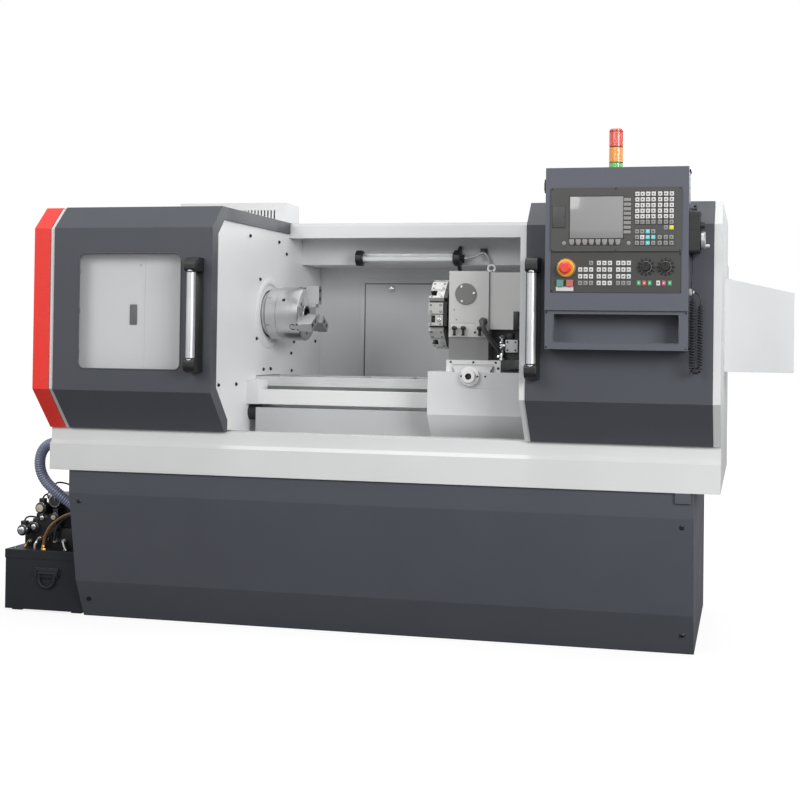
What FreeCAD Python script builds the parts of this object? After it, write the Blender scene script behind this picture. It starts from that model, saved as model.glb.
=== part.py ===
"""A CNC turning lathe: flat bed, sliding doors, eight station turret, millimetres.

X runs along the spindle towards the tailstock, Y away from the operator, Z up.
The origin is the middle of the footprint, on the floor.
"""
import FreeCAD, Part

import math
import operator
import os

import Sketcher
from FreeCAD import Placement, Rotation, Vector

doc = FreeCAD.newDocument("turning_lathe")


# ---------------------------------------------------------------- sizes

DIMENSIONS = [
    # alias, value, what it is
    ("casing_left", -1170, "left end of the splash guard and of the tray"),
    ("casing_right", 1190, "right end of the splash guard and of the tray"),
    ("end_panel_width", 61, "painted end panel, along the spindle"),
    ("end_strip_width", 16, "pale strip between end panel and left door"),
    ("bar_hole", 45, "radius of the bar stock hole in the left end panel"),
    ("right_panel_width", 25, "right end panel, along the spindle"),
    ("guard_front", -577, "front face of the doors"),
    ("guard_back", 526, "front face of the rear wall"),
    ("door_bottom", 695, "lowest edge of the doors"),
    ("door_bottom_front", -458, "front of the doors' lowest edge"),
    ("door_face_low", 835.5, "foot of the doors' upright face"),
    ("door_face_high", 1397, "head of the doors' upright face"),
    ("roof_front", -500, "front edge of the flat roof"),
    ("roof_high", 1476, "upper face of the roof"),
    ("roof_back", 188, "rear edge of the sliding roof"),
    ("door_wall", 2, "sheet of the doors"),
    ("door_flange", 45, "depth of the flange at the door ends"),
    ("door_width", 590, "each door, along the spindle"),
    ("edge_strip", 20, "pale edge strip on the right door"),
    ("slide_gap", 0.3, "running clearance of slides and seats"),
    ("glass_left", 96, "window, from the left edge of its door"),
    ("glass_width", 380, "window, along the spindle"),
    ("glass_low", 911, "foot of the window"),
    ("glass_high", 1308, "head of the window"),
    ("glass_corner", 22, "corner radius of the window"),
    ("glass_thick", 6, "laminated pane"),
    ("glass_lap", 12, "pane beyond the opening"),
    ("handle_low", 904, "foot of the door handles"),
    ("handle_high", 1292, "head of the door handles"),
    ("handle_inset", 50, "handle axis from the door's closing edge"),
    ("handle_reach", 55, "handle axis from the door face"),
    ("handle_bar_size", 15, "radius of the handle bar"),
    ("handle_foot", 48, "height of a handle foot"),
    ("handle_foot_width", 40, "width of a handle foot"),
    ("tray_front", -457, "front face of the chip tray"),
    ("tray_bottom", 544, "underside of the chip tray"),
    ("tray_face_high", 637, "head of the tray's front face"),
    ("tray_step", 12, "step from the tray face back to the door rail"),
    ("tray_wall", 6, "sheet of the chip tray"),
    ("rail_depth", 55, "door rail ledge, front to back"),
    ("base_left", -1098, "left end of the base"),
    ("base_right", 1106, "right end of the base"),
    ("base_front", -447, "upper band of the base front"),
    ("base_back", 470, "rear of the base"),
    ("base_bend_high", 461, "upper fold of the base front"),
    ("base_bend_low", 138, "lower fold of the base front"),
    ("base_lean", 57, "set back of the lower fold"),
    ("base_toe", 116, "set back at the floor"),
    ("panel_wall", 2.5, "folded front panel of the base"),
    ("panel_lift", 3, "front panel above the floor"),
    ("frame_wall", 12, "plates of the base weldment"),
    ("base_bolt_inset", 37, "base bolts from the end of the base"),
    ("bolt_head", 6, "radius of the cover bolts"),
    ("bolt_height", 4, "height of the cover bolts"),
    ("bed_left", -1005, "headstock end of the bed"),
    ("bed_right", 1140, "tail end of the bed"),
    ("bed_front", -166, "front face of the bed"),
    ("bed_back", 74, "rear face of the bed"),
    ("bed_top", 881, "upper face of the ways"),
    ("way_width", 56, "width of each way"),
    ("way_lip", 34, "depth of the way's edge"),
    ("bed_waist", 14, "bed wall behind the way's edge"),
    ("rib_wall", 24, "ribs between the bed walls"),
    ("bed_floor", 30, "web at the foot of the bed"),
    ("bed_bays", 9, "openings between the ribs"),
    ("axis_depth", -46, "spindle axis, front to back"),
    ("centre_height", 233, "spindle axis above the ways"),
    ("bulkhead_face", -508, "headstock bulkhead, face towards the work"),
    ("bulkhead_wall", 12, "bulkhead thickness"),
    ("headstock_left", -985, "rear end of the headstock"),
    ("headstock_right", -545, "nose end of the headstock"),
    ("headstock_front", -196, "front of the headstock"),
    ("headstock_back", 104, "rear of the headstock"),
    ("headstock_rise", 182, "top of the headstock above the spindle axis"),
    ("headstock_chamfer", 46, "bevel of the headstock's upper edges"),
    ("bearing_outer", 85, "radius over the spindle bearings"),
    ("bearing_inner", 55, "radius inside the spindle bearings"),
    ("bearing_width", 48, "width of a spindle bearing"),
    ("headstock_bore", 70, "radius of the gallery between the bearings"),
    ("spindle_bore", 26, "radius of the spindle bore"),
    ("nose_radius", 84, "radius of the spindle nose flange"),
    ("nose_width", 22, "width of the spindle nose flange"),
    ("chuck_radius", 100, "radius of the chuck"),
    ("chuck_width", 88, "chuck body, along the spindle"),
    ("plate_width", 46, "chuck back plate, along the spindle"),
    ("plate_radius", 97, "radius of the chuck back plate"),
    ("chuck_start", -492, "rear face of the chuck back plate"),
    ("chuck_bore", 30, "radius of the chuck bore"),
    ("key_socket", 11, "square socket of the chuck key"),
    ("jaw_width", 32, "width of a jaw"),
    ("jaw_guide", 26, "jaw depth inside the chuck"),
    ("jaw_guide_width", 14, "width of the jaw in its slot"),
    ("jaw_inner", 25, "inner end of the jaws at rest"),
    ("jaw_length", 80, "radial length of a jaw"),
    ("jaw_base", 14, "base jaw in front of the chuck face"),
    ("jaw_top", 38, "top jaw in front of its base"),
    ("jaw_step", 12, "step at the inner end of a top jaw"),
    ("jaw_bolt", 9, "counterbore of a jaw bolt"),
    ("pulley_width", 58, "width of the belt pulleys"),
    ("pulley_gap", 18, "headstock to spindle pulley"),
    ("pulley_radius", 100, "radius of the spindle pulley"),
    ("pulley_grooves", 3, "grooves of each belt pulley"),
    ("groove_half", 7, "half width and depth of a belt groove"),
    ("motor_pulley_radius", 60, "radius of the motor pulley"),
    ("belt_thick", 9, "thickness of the drive belt"),
    ("belt_width", 50, "width of the drive belt"),
    ("motor_depth", 190, "motor axis, front to back"),
    ("motor_height", 260, "motor axis above the floor"),
    ("motor_radius", 125, "radius of the main motor"),
    ("motor_length", 380, "length of the main motor"),
    ("motor_fins", 7, "cooling fins of the main motor"),
    ("motor_shaft", 20, "radius of the motor shaft"),
    ("screw_depth", -216, "long ball screw, front to back"),
    ("screw_drop", 129, "long ball screw below the ways"),
    ("screw_radius", 16, "radius of the long ball screw"),
    ("bush_radius", 28, "black bush at the bulkhead"),
    ("bush_length", 36, "length of the black bush"),
    ("cover_front", -250, "front of the ball screw cover"),
    ("cover_depth", 50, "ball screw cover, front to back"),
    ("cover_lift", 32, "foot of the ball screw cover above the screw"),
    ("cover_height", 52, "height of the ball screw cover"),
    ("cover_wall", 2, "sheet of covers and guards"),
    ("guard_gap", 12, "slot between the ball screw's cover and its front guard"),
    ("guard_height", 117, "height of the ball screw's front guard"),
    ("saddle_left", 201, "left end of the saddle"),
    ("saddle_length", 360, "saddle, along the bed"),
    ("saddle_front", -374, "front of the saddle"),
    ("saddle_back", 120, "rear of the saddle"),
    ("wing_clear", 26, "front wing of the saddle above the ball screw cover"),
    ("apron_front", -377, "front of the carriage cover"),
    ("apron_height", 212, "height of the carriage cover"),
    ("apron_face", 92, "upright face of the carriage cover"),
    ("apron_lean", 90, "set back at the foot of the carriage cover"),
    ("apron_depth", 112, "side plates of the carriage cover"),
    ("slide_left", 259, "left side of the cross slide"),
    ("slide_width", 190, "cross slide, along the bed"),
    ("slide_front", -340, "front of the cross slide"),
    ("slide_back", 70, "rear of the cross slide"),
    ("slide_height", 40, "height of the cross slide"),
    ("dovetail_width", 120, "dovetail of the cross slide, at its foot"),
    ("dovetail_high", 20, "height of the dovetail"),
    ("dovetail_lean", 11, "spread of the dovetail"),
    ("screw_seat_radius", 34, "bearing flange of the cross screw"),
    ("screw_hub_radius", 22, "hub of the cross screw bearing"),
    ("cross_screw_side", 350, "cross screw axis, along the bed"),
    ("cross_screw_drop", 14, "cross screw axis below the top of the saddle"),
    ("turret_left", 253, "turret housing, disc side"),
    ("turret_width", 141, "turret housing, along the spindle"),
    ("turret_front", -290, "front of the turret housing"),
    ("turret_depth", 240, "turret housing, front to back"),
    ("riser_height", 78, "riser of the turret housing above the cross slide"),
    ("turret_rise", 150, "top of the turret housing above the spindle axis"),
    ("turret_cap_radius", 37, "round cover on the turret housing"),
    ("turret_cap_side", 60, "round cover from the housing's left side"),
    ("turret_cap_rise", 71, "round cover above the spindle axis"),
    ("drive_width", 150, "turret motor cover, along the spindle"),
    ("drive_drop", 51, "foot of the turret motor cover below the spindle axis"),
    ("disc_centre", -172, "turret disc axis, front to back"),
    ("stations", 8, "tool stations of the turret disc"),
    ("disc_radius", 131, "turret disc over the corners of the blocks"),
    ("disc_width", 66, "turret disc thickness"),
    ("disc_gap", 8, "disc to housing"),
    ("disc_clear", 26, "turret disc above the cross slide"),
    ("disc_neck", 70, "radius of the neck behind the disc"),
    ("block_thick", 17, "clamping block, radial"),
    ("block_gap", 3, "joint between clamping blocks"),
    ("tool_slot", 25, "square tool slot"),
    ("slot_side", 17, "tool slot from the middle of its flat"),
    ("tail_left", 665, "left end of the tailstock"),
    ("tail_length", 250, "tailstock, along the bed"),
    ("tail_barrel", 58, "radius of the tailstock barrel"),
    ("tail_base", 66, "height of the tailstock base"),
    ("tail_waist", 90, "width of the tailstock column"),
    ("quill_radius", 30, "radius of the quill"),
    ("quill_reach", 30, "quill beyond the barrel at rest"),
    ("centre_length", 52, "live centre beyond the quill"),
    ("wheel_radius", 90, "radius of the tailstock handwheel"),
    ("wheel_width", 18, "rim of the tailstock handwheel"),
    ("beam_front", 148, "front of the top beam"),
    ("beam_depth", 40, "top beam, front to back"),
    ("beam_low", 1416, "foot of the top beam"),
    ("beam_high", 1464, "top of the top beam"),
    ("header_front", 299, "front of the upper rear wall"),
    ("header_low", 1319, "foot of the upper rear wall"),
    ("hatch_left", -312, "rear hatch, left edge"),
    ("hatch_width", 560, "rear hatch, along the spindle"),
    ("hatch_low", 800, "rear hatch, lower edge"),
    ("hatch_high", 1255, "rear hatch, upper edge"),
    ("lamp_left", -258, "left end of the work lamp"),
    ("lamp_length", 425, "length of the work lamp"),
    ("lamp_radius", 23, "radius of the lamp tube"),
    ("lamp_cap_radius", 31, "radius of the lamp's end caps"),
    ("lamp_cap_width", 24, "width of the lamp's end caps"),
    ("lamp_height", 1343, "lamp axis above the floor"),
    ("lamp_reach", 52, "lamp axis from the upper rear wall"),
    ("hood_length", 232, "guard at the tail end, along the spindle"),
    ("hood_front", -156, "front of the tail guard"),
    ("hood_depth", 220, "tail guard, front to back"),
    ("hood_low", 928, "foot of the tail guard"),
    ("hood_high", 1249, "head of the tail guard at the casing"),
    ("hood_drop", 51, "fall of the tail guard's roof"),
    ("cabinet_left", -1156, "left side of the electrical cabinet"),
    ("cabinet_width", 484, "electrical cabinet, along the spindle"),
    ("cabinet_low", 640, "foot of the electrical cabinet"),
    ("cabinet_high", 1599, "top of the electrical cabinet"),
    ("cabinet_depth", 158, "electrical cabinet, front to back"),
    ("knuckle_radius", 5, "radius of the hinge barrels"),
    ("knuckle_length", 24, "length of a hinge barrel"),
    ("louvres", 17, "louvre slots of the cabinet"),
    ("louvre_width", 6, "width of a louvre slot"),
    ("louvre_pitch", 14.8, "pitch of the louvre slots"),
    ("louvre_low", 1500, "foot of the louvre slots"),
    ("louvre_high", 1567, "head of the louvre slots"),
    ("louvre_right", 48, "last louvre slot from the cabinet's right side"),
    ("box_left", 651, "left side of the control box"),
    ("box_width", 441, "control box, along the spindle"),
    ("box_depth", 95, "control box in front of the doors"),
    ("box_low", 1002, "foot of the control box"),
    ("box_split", 1123, "head of the shelf under the controls"),
    ("box_high", 1565, "top of the control box"),
    ("box_wall", 3, "sheet of the control box"),
    ("shelf_side", 26, "shelf recess from the box sides"),
    ("shelf_low", 1024, "floor of the shelf recess"),
    ("shelf_high", 1112, "head of the shelf recess"),
    ("display_side", 18, "display unit from the box's left side"),
    ("display_width", 402, "width of the display unit"),
    ("display_low", 1305, "foot of the display unit"),
    ("display_high", 1502, "head of the display unit"),
    ("display_proud", 5, "display unit in front of the box"),
    ("screen_left", 59, "screen from the display unit's left side"),
    ("screen_width", 166, "width of the screen"),
    ("screen_low", 1346, "foot of the screen"),
    ("screen_high", 1475, "head of the screen"),
    ("key_proud", 1.6, "keys in front of their panel"),
    ("key_size", 13, "width and height of a key"),
    ("key_pitch", 17.4, "pitch of the display unit's keys, downwards"),
    ("machine_key_pitch", 20.5, "pitch of the machine panel's keys, downwards"),
    ("soft_keys", 8, "keys beside the screen, and keys below it"),
    ("soft_key_across", 20.4, "pitch of the keys below the screen"),
    ("soft_key_down", 14.2, "pitch of the keys beside the screen"),
    ("stop_side", 66, "emergency stop from the box's left side"),
    ("stop_high", 1254, "emergency stop above the floor"),
    ("stop_radius", 19, "emergency stop mushroom"),
    ("stop_collar", 29, "yellow ring of the emergency stop"),
    ("button_size", 21, "square start and stop buttons"),
    ("button_high", 1207, "start and stop buttons above the floor"),
    ("start_side", 49, "start button from the box's left side"),
    ("halt_side", 79, "stop button from the box's left side"),
    ("knob_radius", 15, "override knobs"),
    ("knob_high", 1258, "override knobs above the floor"),
    ("feed_side", 313, "feed override knob from the box's left side"),
    ("speed_side", 373, "speed override knob from the box's left side"),
    ("tower_side", 843, "signal tower, along the spindle"),
    ("tower_depth", -430, "signal tower, front to back"),
    ("tower_radius", 24, "radius of the signal tower"),
    ("tower_foot", 1561, "head of the tower's foot"),
    ("lens_high", 51, "height of one signal lens"),
    ("tower_cap", 10, "height of the tower's cap"),
    ("pendant_thick", 33, "handwheel pendant, along the spindle"),
    ("pendant_width", 78, "handwheel pendant, front to back"),
    ("pendant_drop", 135, "head of the pendant below the top of the control box"),
    ("pendant_height", 129, "handwheel pendant, foot to head"),
    ("pendant_front", -668, "front of the pendant"),
    ("dial_radius", 27, "pulse dial of the pendant"),
    ("dial_rise", 41, "pulse dial above the pendant's foot"),
    ("selector_radius", 13, "axis selector of the pendant"),
    ("selector_rise", 87, "axis selector above the pendant's foot"),
    ("cord_radius", 9.4, "coiled cord, outer radius"),
    ("cord_wire", 2, "radius of the cord itself"),
    ("coil_lead", 137, "straight cord from the pendant to its coil"),
    ("coil_drop", 208, "coil on the pendant side, down to the bend"),
    ("coil_rise", 192, "coil on the gland side, up from the bend"),
    ("coil_turns", 54, "curls of the cord"),
    ("cord_side", 11, "cord outlet from the pendant's back"),
    ("gland_rise", 35, "cord gland above the coil"),
    ("gland_depth", -606, "cord gland, front to back"),
    ("gland_radius", 9, "radius of the cord gland"),
    ("gland_reach", 7, "cord gland in front of the box side"),
    ("tank_left", -1423, "left side of the tank"),
    ("tank_front", -331, "front of the tank"),
    ("tank_width", 322, "tank, along the spindle"),
    ("tank_depth", 500, "tank, front to back"),
    ("tank_low", 8, "tank above the floor"),
    ("tank_high", 227, "top of the tank lid"),
    ("tank_lip", 32, "height of the tank lid"),
    ("tank_wall", 4, "sheet of the tank"),
    ("bail_side", 176, "drop handle from the tank's left side"),
    ("bail_high", 146, "drop handle pivot above the floor"),
    ("bail_width", 70, "width of the drop handle"),
    ("bail_drop", 52, "fall of the drop handle"),
    ("bail_wire", 4.5, "radius of the drop handle's rod"),
    ("spout_reach", 18, "drain spout beyond the left end of the tray"),
    ("spout_wall", 4, "drain spout around the hose"),
    ("spout_drop", 7, "drain spout below the head of the tray's front face"),
    ("drain_radius", 20, "radius of the drain hose over its ribs"),
    ("drain_bore", 15, "radius of the drain hose's bore"),
    ("rib_height", 1.8, "height of the drain hose's ribs"),
    ("rib_pitch", 9, "pitch of the drain hose's ribs"),
    ("oil_radius", 6, "radius of the oil hose"),
]


def formula(value):
    """The text of a size, or of a plain number, for an expression."""
    if isinstance(value, Size):
        return value.text
    return f"({float(value)!r})" if value < 0 else repr(float(value))


class Size(float):
    """A length that remembers its formula in the names of the sheet."""

    def __new__(cls, value, text):
        made = super().__new__(cls, value)
        made.text = text
        return made

    def __neg__(self):
        return Size(-float(self), f"(0 - {self.text})")


def arithmetic(symbol, work):
    """The two operator methods that keep value and formula together."""
    def forward(self, other):
        return Size(work(float(self), float(other)), f"({formula(self)} {symbol} {formula(other)})")

    def backward(self, other):
        return Size(work(float(other), float(self)), f"({formula(other)} {symbol} {formula(self)})")
    return forward, backward


Size.__add__, Size.__radd__ = arithmetic("+", operator.add)
Size.__sub__, Size.__rsub__ = arithmetic("-", operator.sub)
Size.__mul__, Size.__rmul__ = arithmetic("*", operator.mul)
Size.__truediv__, Size.__rtruediv__ = arithmetic("/", operator.truediv)


class Sizes:
    """The driving dimensions, kept in a spreadsheet and read by name."""

    def __init__(self, rows):
        self.sheet = doc.addObject("Spreadsheet::Sheet", "Sizes")
        for number, (alias, value, note) in enumerate(rows, start=1):
            self.sheet.set(f"A{number}", alias)
            self.sheet.set(f"B{number}", str(value))
            self.sheet.set(f"C{number}", note)
            self.sheet.setAlias(f"B{number}", alias)
        doc.recompute()
        for number, (alias, value, note) in enumerate(rows, start=1):
            setattr(self, alias, Size(self.sheet.get(f"B{number}"), f"Sizes.{alias}"))


at = Sizes(DIMENSIONS)


# ---------------------------------------------------------------- building blocks

PLANES = {"X": "YZ_Plane", "Y": "XZ_Plane", "Z": "XY_Plane"}
TURNS = {"X": Rotation(Vector(0, 1, 0), 90), "Y": Rotation(Vector(1, 0, 0), -90), "Z": Rotation()}
finished = []


def bound(target, name, value):
    """Bind one property of an object to a size, or set a plain number."""
    if isinstance(value, Size):
        target.setExpression(name, value.text)
    elif "." not in name:
        setattr(target, name, value)
    elif value:
        target.setExpression(name, formula(value))


def place(target, x, y, z):
    """Bind the place of an object."""
    for letter, value in zip("xyz", (x, y, z)):
        bound(target, f"Placement.Base.{letter}", value)


def block(x0, x1, y0, y1, z0, z1):
    """A box between two corners."""
    box = doc.addObject("Part::Box", "Block")
    for name, low, high in (("Length", x0, x1), ("Width", y0, y1), ("Height", z0, z1)):
        bound(box, name, high - low)
    place(box, x0, y0, z0)
    return box


def rod(axis, x, y, z, radius, length):
    """A cylinder that starts at a point and runs along an axis."""
    made = doc.addObject("Part::Cylinder", "Rod")
    made.Placement = Placement(Vector(), TURNS[axis])
    bound(made, "Radius", radius)
    bound(made, "Height", length)
    place(made, x, y, z)
    return made


def ring(axis, x, y, z, outer, inner, length):
    """A tube that starts at a point and runs along an axis."""
    return cut(rod(axis, x, y, z, outer, length), rod(axis, x, y, z, inner, length))


def fuse(*pieces):
    """Several solids joined into one."""
    if len(pieces) == 1:
        return pieces[0]
    made = doc.addObject("Part::MultiFuse", "Joined")
    made.Shapes = list(pieces)
    return made


def cut(base, *tools):
    """One solid with others taken away from it."""
    made = doc.addObject("Part::Cut", "Cut")
    made.Base = base
    made.Tool = fuse(*tools)
    return made


def group(*pieces):
    """Several separate solids kept together."""
    made = doc.addObject("Part::Compound", "Group")
    made.Links = list(pieces)
    return made


def finish(label, made):
    """Name a finished sub-part."""
    made.Label = label
    finished.append(made)
    return made


def knuckles(x, y, heights, towards, reach, on_leaf):
    """Hinge barrels on a line along Z, each with a tab; leaf and frame barrels alternate."""
    made = []
    for z in heights:
        low = z if on_leaf else z + at.knuckle_length + at.slide_gap
        made.append(rod("Z", x, y, low, at.knuckle_radius, at.knuckle_length))
        made.append(block(*towards, min(y, reach), max(y, reach), low, low + at.knuckle_length))
    return made


def new_sketch(body, axis, low, centre=(0, 0)):
    """A sketch square to an axis, at a place along it, with its origin at a centre."""
    sketch = body.newObject("Sketcher::SketchObject", "Outline")
    plane = [found for found in body.Origin.OriginFeatures if found.Role == PLANES[axis]][0]
    sketch.AttachmentSupport = [(plane, "")]
    sketch.MapMode = "FlatFace"
    bound(sketch, "AttachmentOffset.Base.x", centre[0])
    bound(sketch, "AttachmentOffset.Base.y", centre[1])
    bound(sketch, "AttachmentOffset.Base.z", -low if axis == "Y" else low)
    return sketch


def fix_point(sketch, edge, end, point):
    """Hold one end of an edge at a bound place in its sketch."""
    for kind, value in zip(("DistanceX", "DistanceY"), point):
        number = sketch.addConstraint(Sketcher.Constraint(kind, edge, end, float(value)))
        if isinstance(value, Size):
            sketch.setExpression(f"Constraints[{number}]", value.text)


def draw_loop(sketch, points):
    """Straight edges through points, closed."""
    count = len(points)
    first = sketch.GeometryCount
    for index, point in enumerate(points):
        after = points[(index + 1) % count]
        sketch.addGeometry(Part.LineSegment(Vector(*point, 0), Vector(*after, 0)), False)
    for index in range(count):
        sketch.addConstraint(Sketcher.Constraint(
            "Coincident", first + index, 2, first + (index + 1) % count, 1))
    return first


def polygon(sketch, points):
    """A closed outline whose every corner is bound."""
    first = draw_loop(sketch, points)
    for index, point in enumerate(points):
        fix_point(sketch, first + index, 1, point)


def beside(path, wall):
    """The corners of a path moved sideways by a wall, to the right of its direction."""
    unit = []
    for start, end in zip(path, path[1:]):
        run = Vector(float(end[0]) - float(start[0]), float(end[1]) - float(start[1]), 0)
        unit.append(run.normalize())
    moved = []
    for index, point in enumerate(path):
        before, after = unit[max(index - 1, 0)], unit[min(index, len(unit) - 1)]
        normal = Vector(before.y + after.y, -before.x - after.x, 0)
        normal.normalize()
        reach = float(wall) / math.sqrt((1 + before.dot(after)) / 2)
        moved.append((float(point[0]) + normal.x * reach, float(point[1]) + normal.y * reach))
    return moved


def folded_outline(sketch, path, wall):
    """The section of a folded sheet: a bound path, and a parallel one a wall away."""
    inner = beside(path, wall)
    runs = len(path) - 1
    draw_loop(sketch, list(path) + inner[::-1])
    for index, point in enumerate(path):
        fix_point(sketch, min(index, runs - 1), 1 if index < runs else 2, point)
    for index in range(runs):
        partner = 2 * runs - index
        sketch.addConstraint(Sketcher.Constraint("Parallel", index, partner))
        number = sketch.addConstraint(Sketcher.Constraint("Distance", partner, 1, index, float(wall)))
        if isinstance(wall, Size):
            sketch.setExpression(f"Constraints[{number}]", wall.text)
    sketch.addConstraint(Sketcher.Constraint("Perpendicular", runs, runs - 1))
    sketch.addConstraint(Sketcher.Constraint("Perpendicular", 2 * runs + 1, 0))


def rounded_outline(sketch, left, right, low, high, radius):
    """A rectangle with bound sides and round corners."""
    inner = ((right - radius, high - radius), (left + radius, high - radius),
             (left + radius, low + radius), (right - radius, low + radius))
    for index, (u, v) in enumerate(inner):
        circle = Part.Circle(Vector(u, v, 0), Vector(0, 0, 1), float(radius))
        start = math.pi / 2 * index
        sketch.addGeometry(Part.ArcOfCircle(circle, start, start + math.pi / 2), False)
    sides = (((right - radius, high), (left + radius, high)), ((left, high - radius), (left, low + radius)),
             ((left + radius, low), (right - radius, low)), ((right, low + radius), (right, high - radius)))
    for start, end in sides:
        sketch.addGeometry(Part.LineSegment(Vector(*start, 0), Vector(*end, 0)), False)
    for index in range(4):
        sketch.addConstraint(Sketcher.Constraint("Tangent", index, 2, 4 + index, 1))
        sketch.addConstraint(Sketcher.Constraint("Tangent", 4 + index, 2, (index + 1) % 4, 1))
    for index, centre in enumerate(inner[:2]):
        fix_point(sketch, index, 3, centre)
    number = sketch.addConstraint(Sketcher.Constraint("Radius", 0, float(radius)))
    sketch.setExpression(f"Constraints[{number}]", formula(radius))
    fix_point(sketch, 2, 3, inner[2])


def padded(body, sketch, length, axis):
    """Extrude a sketch towards the positive end of its axis."""
    pad = body.newObject("PartDesign::Pad", "Pad")
    pad.Profile = sketch
    pad.Reversed = axis == "Y"
    bound(pad, "Length", length)
    return pad


def prism(axis, low, high, points):
    """A straight solid with a bound polygon for its section."""
    body = doc.addObject("PartDesign::Body", "Prism")
    sketch = new_sketch(body, axis, low)
    polygon(sketch, points)
    padded(body, sketch, high - low, axis)
    return body


def folded(low, high, path, wall):
    """A folded sheet that runs along X."""
    body = doc.addObject("PartDesign::Body", "Folded")
    sketch = new_sketch(body, "X", low)
    folded_outline(sketch, path, wall)
    padded(body, sketch, high - low, "X")
    return body


def slab(axis, low, high, left, right, foot, head, radius):
    """A plate with round corners, square to an axis."""
    body = doc.addObject("PartDesign::Body", "Slab")
    sketch = new_sketch(body, axis, low)
    rounded_outline(sketch, left, right, foot, head, radius)
    padded(body, sketch, high - low, axis)
    return body


def turned(axis, centre, profile):
    """A turned piece: a section of (place along the axis, radius) spun about the axis."""
    body = doc.addObject("PartDesign::Body", "Turned")
    if axis == "X":
        sketch = new_sketch(body, "Y", centre[0], (0, centre[1]))
    elif axis == "Y":
        sketch = new_sketch(body, "X", centre[0], (0, centre[1]))
    else:
        sketch = new_sketch(body, "Y", centre[1], (centre[0], 0))
        profile = [(radius, along) for along, radius in profile]
    polygon(sketch, profile)
    spin = body.newObject("PartDesign::Revolution", "Revolution")
    spin.Profile = sketch
    spin.ReferenceAxis = (sketch, ["V_Axis" if axis == "Z" else "H_Axis"])
    return body


def turn_about_spindle(piece, angle, y, z):
    """A piece turned about an axis along X through (y, z)."""
    made = group(piece)
    cosine, sine = math.cos(math.radians(angle)), math.sin(math.radians(angle))
    made.Placement = Placement(Vector(), Rotation(Vector(1, 0, 0), angle))
    place(made, 0, y - (y * cosine - z * sine), z - (y * sine + z * cosine))
    return made


# ---------------------------------------------------------------- shared places

left_door_left = at.casing_left + at.end_panel_width + at.end_strip_width + 1
left_door_right = left_door_left + at.door_width
right_door_right = at.casing_right - at.right_panel_width
right_door_left = right_door_right - at.door_width
rear_face = at.guard_back + at.cover_wall
tray_floor = at.tray_bottom + at.tray_wall
rail_top = at.door_bottom - at.slide_gap
rail_front = at.tray_front + at.tray_step
rail_back = rail_front + at.rail_depth
chuck_face = at.chuck_start + at.plate_width + at.chuck_width
axis_height = at.bed_top + at.centre_height
headstock_top = axis_height + at.headstock_rise
screw_height = at.bed_top - at.screw_drop
cover_low = screw_height + at.cover_lift
cover_high = cover_low + at.cover_height
slide_top = axis_height - at.disc_radius - at.disc_clear
saddle_top = slide_top - at.slide_height
wing_low = cover_high + at.wing_clear
apron_fold = wing_low - at.apron_face
apron_low = wing_low - at.apron_height
cross_screw_high = saddle_top - at.cross_screw_drop
turret_seam = slide_top + at.riser_height
turret_top = axis_height + at.turret_rise
turret_cap_high = axis_height + at.turret_cap_rise
drive_low = axis_height - at.drive_drop
spout_high = at.tray_face_high - at.spout_drop
pendant_high = at.box_high - at.pendant_drop
pendant_low = pendant_high - at.pendant_height
dial_high = pendant_low + at.dial_rise
selector_high = pendant_low + at.selector_rise
coil_start = pendant_low - at.coil_lead
coil_foot = coil_start - at.coil_drop
coil_end = coil_foot + at.coil_rise
gland_high = coil_end + at.gland_rise
saddle_right = at.saddle_left + at.saddle_length
slide_right = at.slide_left + at.slide_width
turret_right = at.turret_left + at.turret_width
turret_back = at.turret_front + at.turret_depth
disc_right = at.turret_left - at.disc_gap
disc_left = disc_right - at.disc_width
box_right = at.box_left + at.box_width
box_front = at.guard_front - at.box_depth
display_left = at.box_left + at.display_side
display_right = display_left + at.display_width
display_front = box_front - at.display_proud
cabinet_right = at.cabinet_left + at.cabinet_width
cabinet_back = rear_face + at.cabinet_depth
tank_right = at.tank_left + at.tank_width
tank_back = at.tank_front + at.tank_depth
spindle_pulley_right = at.headstock_left - at.pulley_gap
spindle_pulley_left = spindle_pulley_right - at.pulley_width
lamp_depth = at.header_front - at.lamp_reach

SLIM = 0.5


def guard_path(inset=0):
    """The doors' section from the rail up and over the roof, moved inwards by an inset."""
    return [(at.door_bottom_front + inset + 24, at.door_bottom),
            (at.door_bottom_front + inset, at.door_bottom),
            (at.guard_front + inset, at.door_face_low + inset / 3),
            (at.guard_front + inset, at.door_face_high - inset / 3),
            (at.roof_front + inset / 3, at.roof_high - inset),
            (at.roof_back, at.roof_high - inset)]


# ---------------------------------------------------------------- base and tray

def base_section(front):
    """The base front from the tray down to the floor, at a set back behind the panel."""
    return [(at.base_front + front, at.tray_bottom),
            (at.base_front + front, at.base_bend_high),
            (at.base_front + at.base_lean + front, at.base_bend_low),
            (at.base_front + at.base_toe + front, at.panel_lift)]


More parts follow.
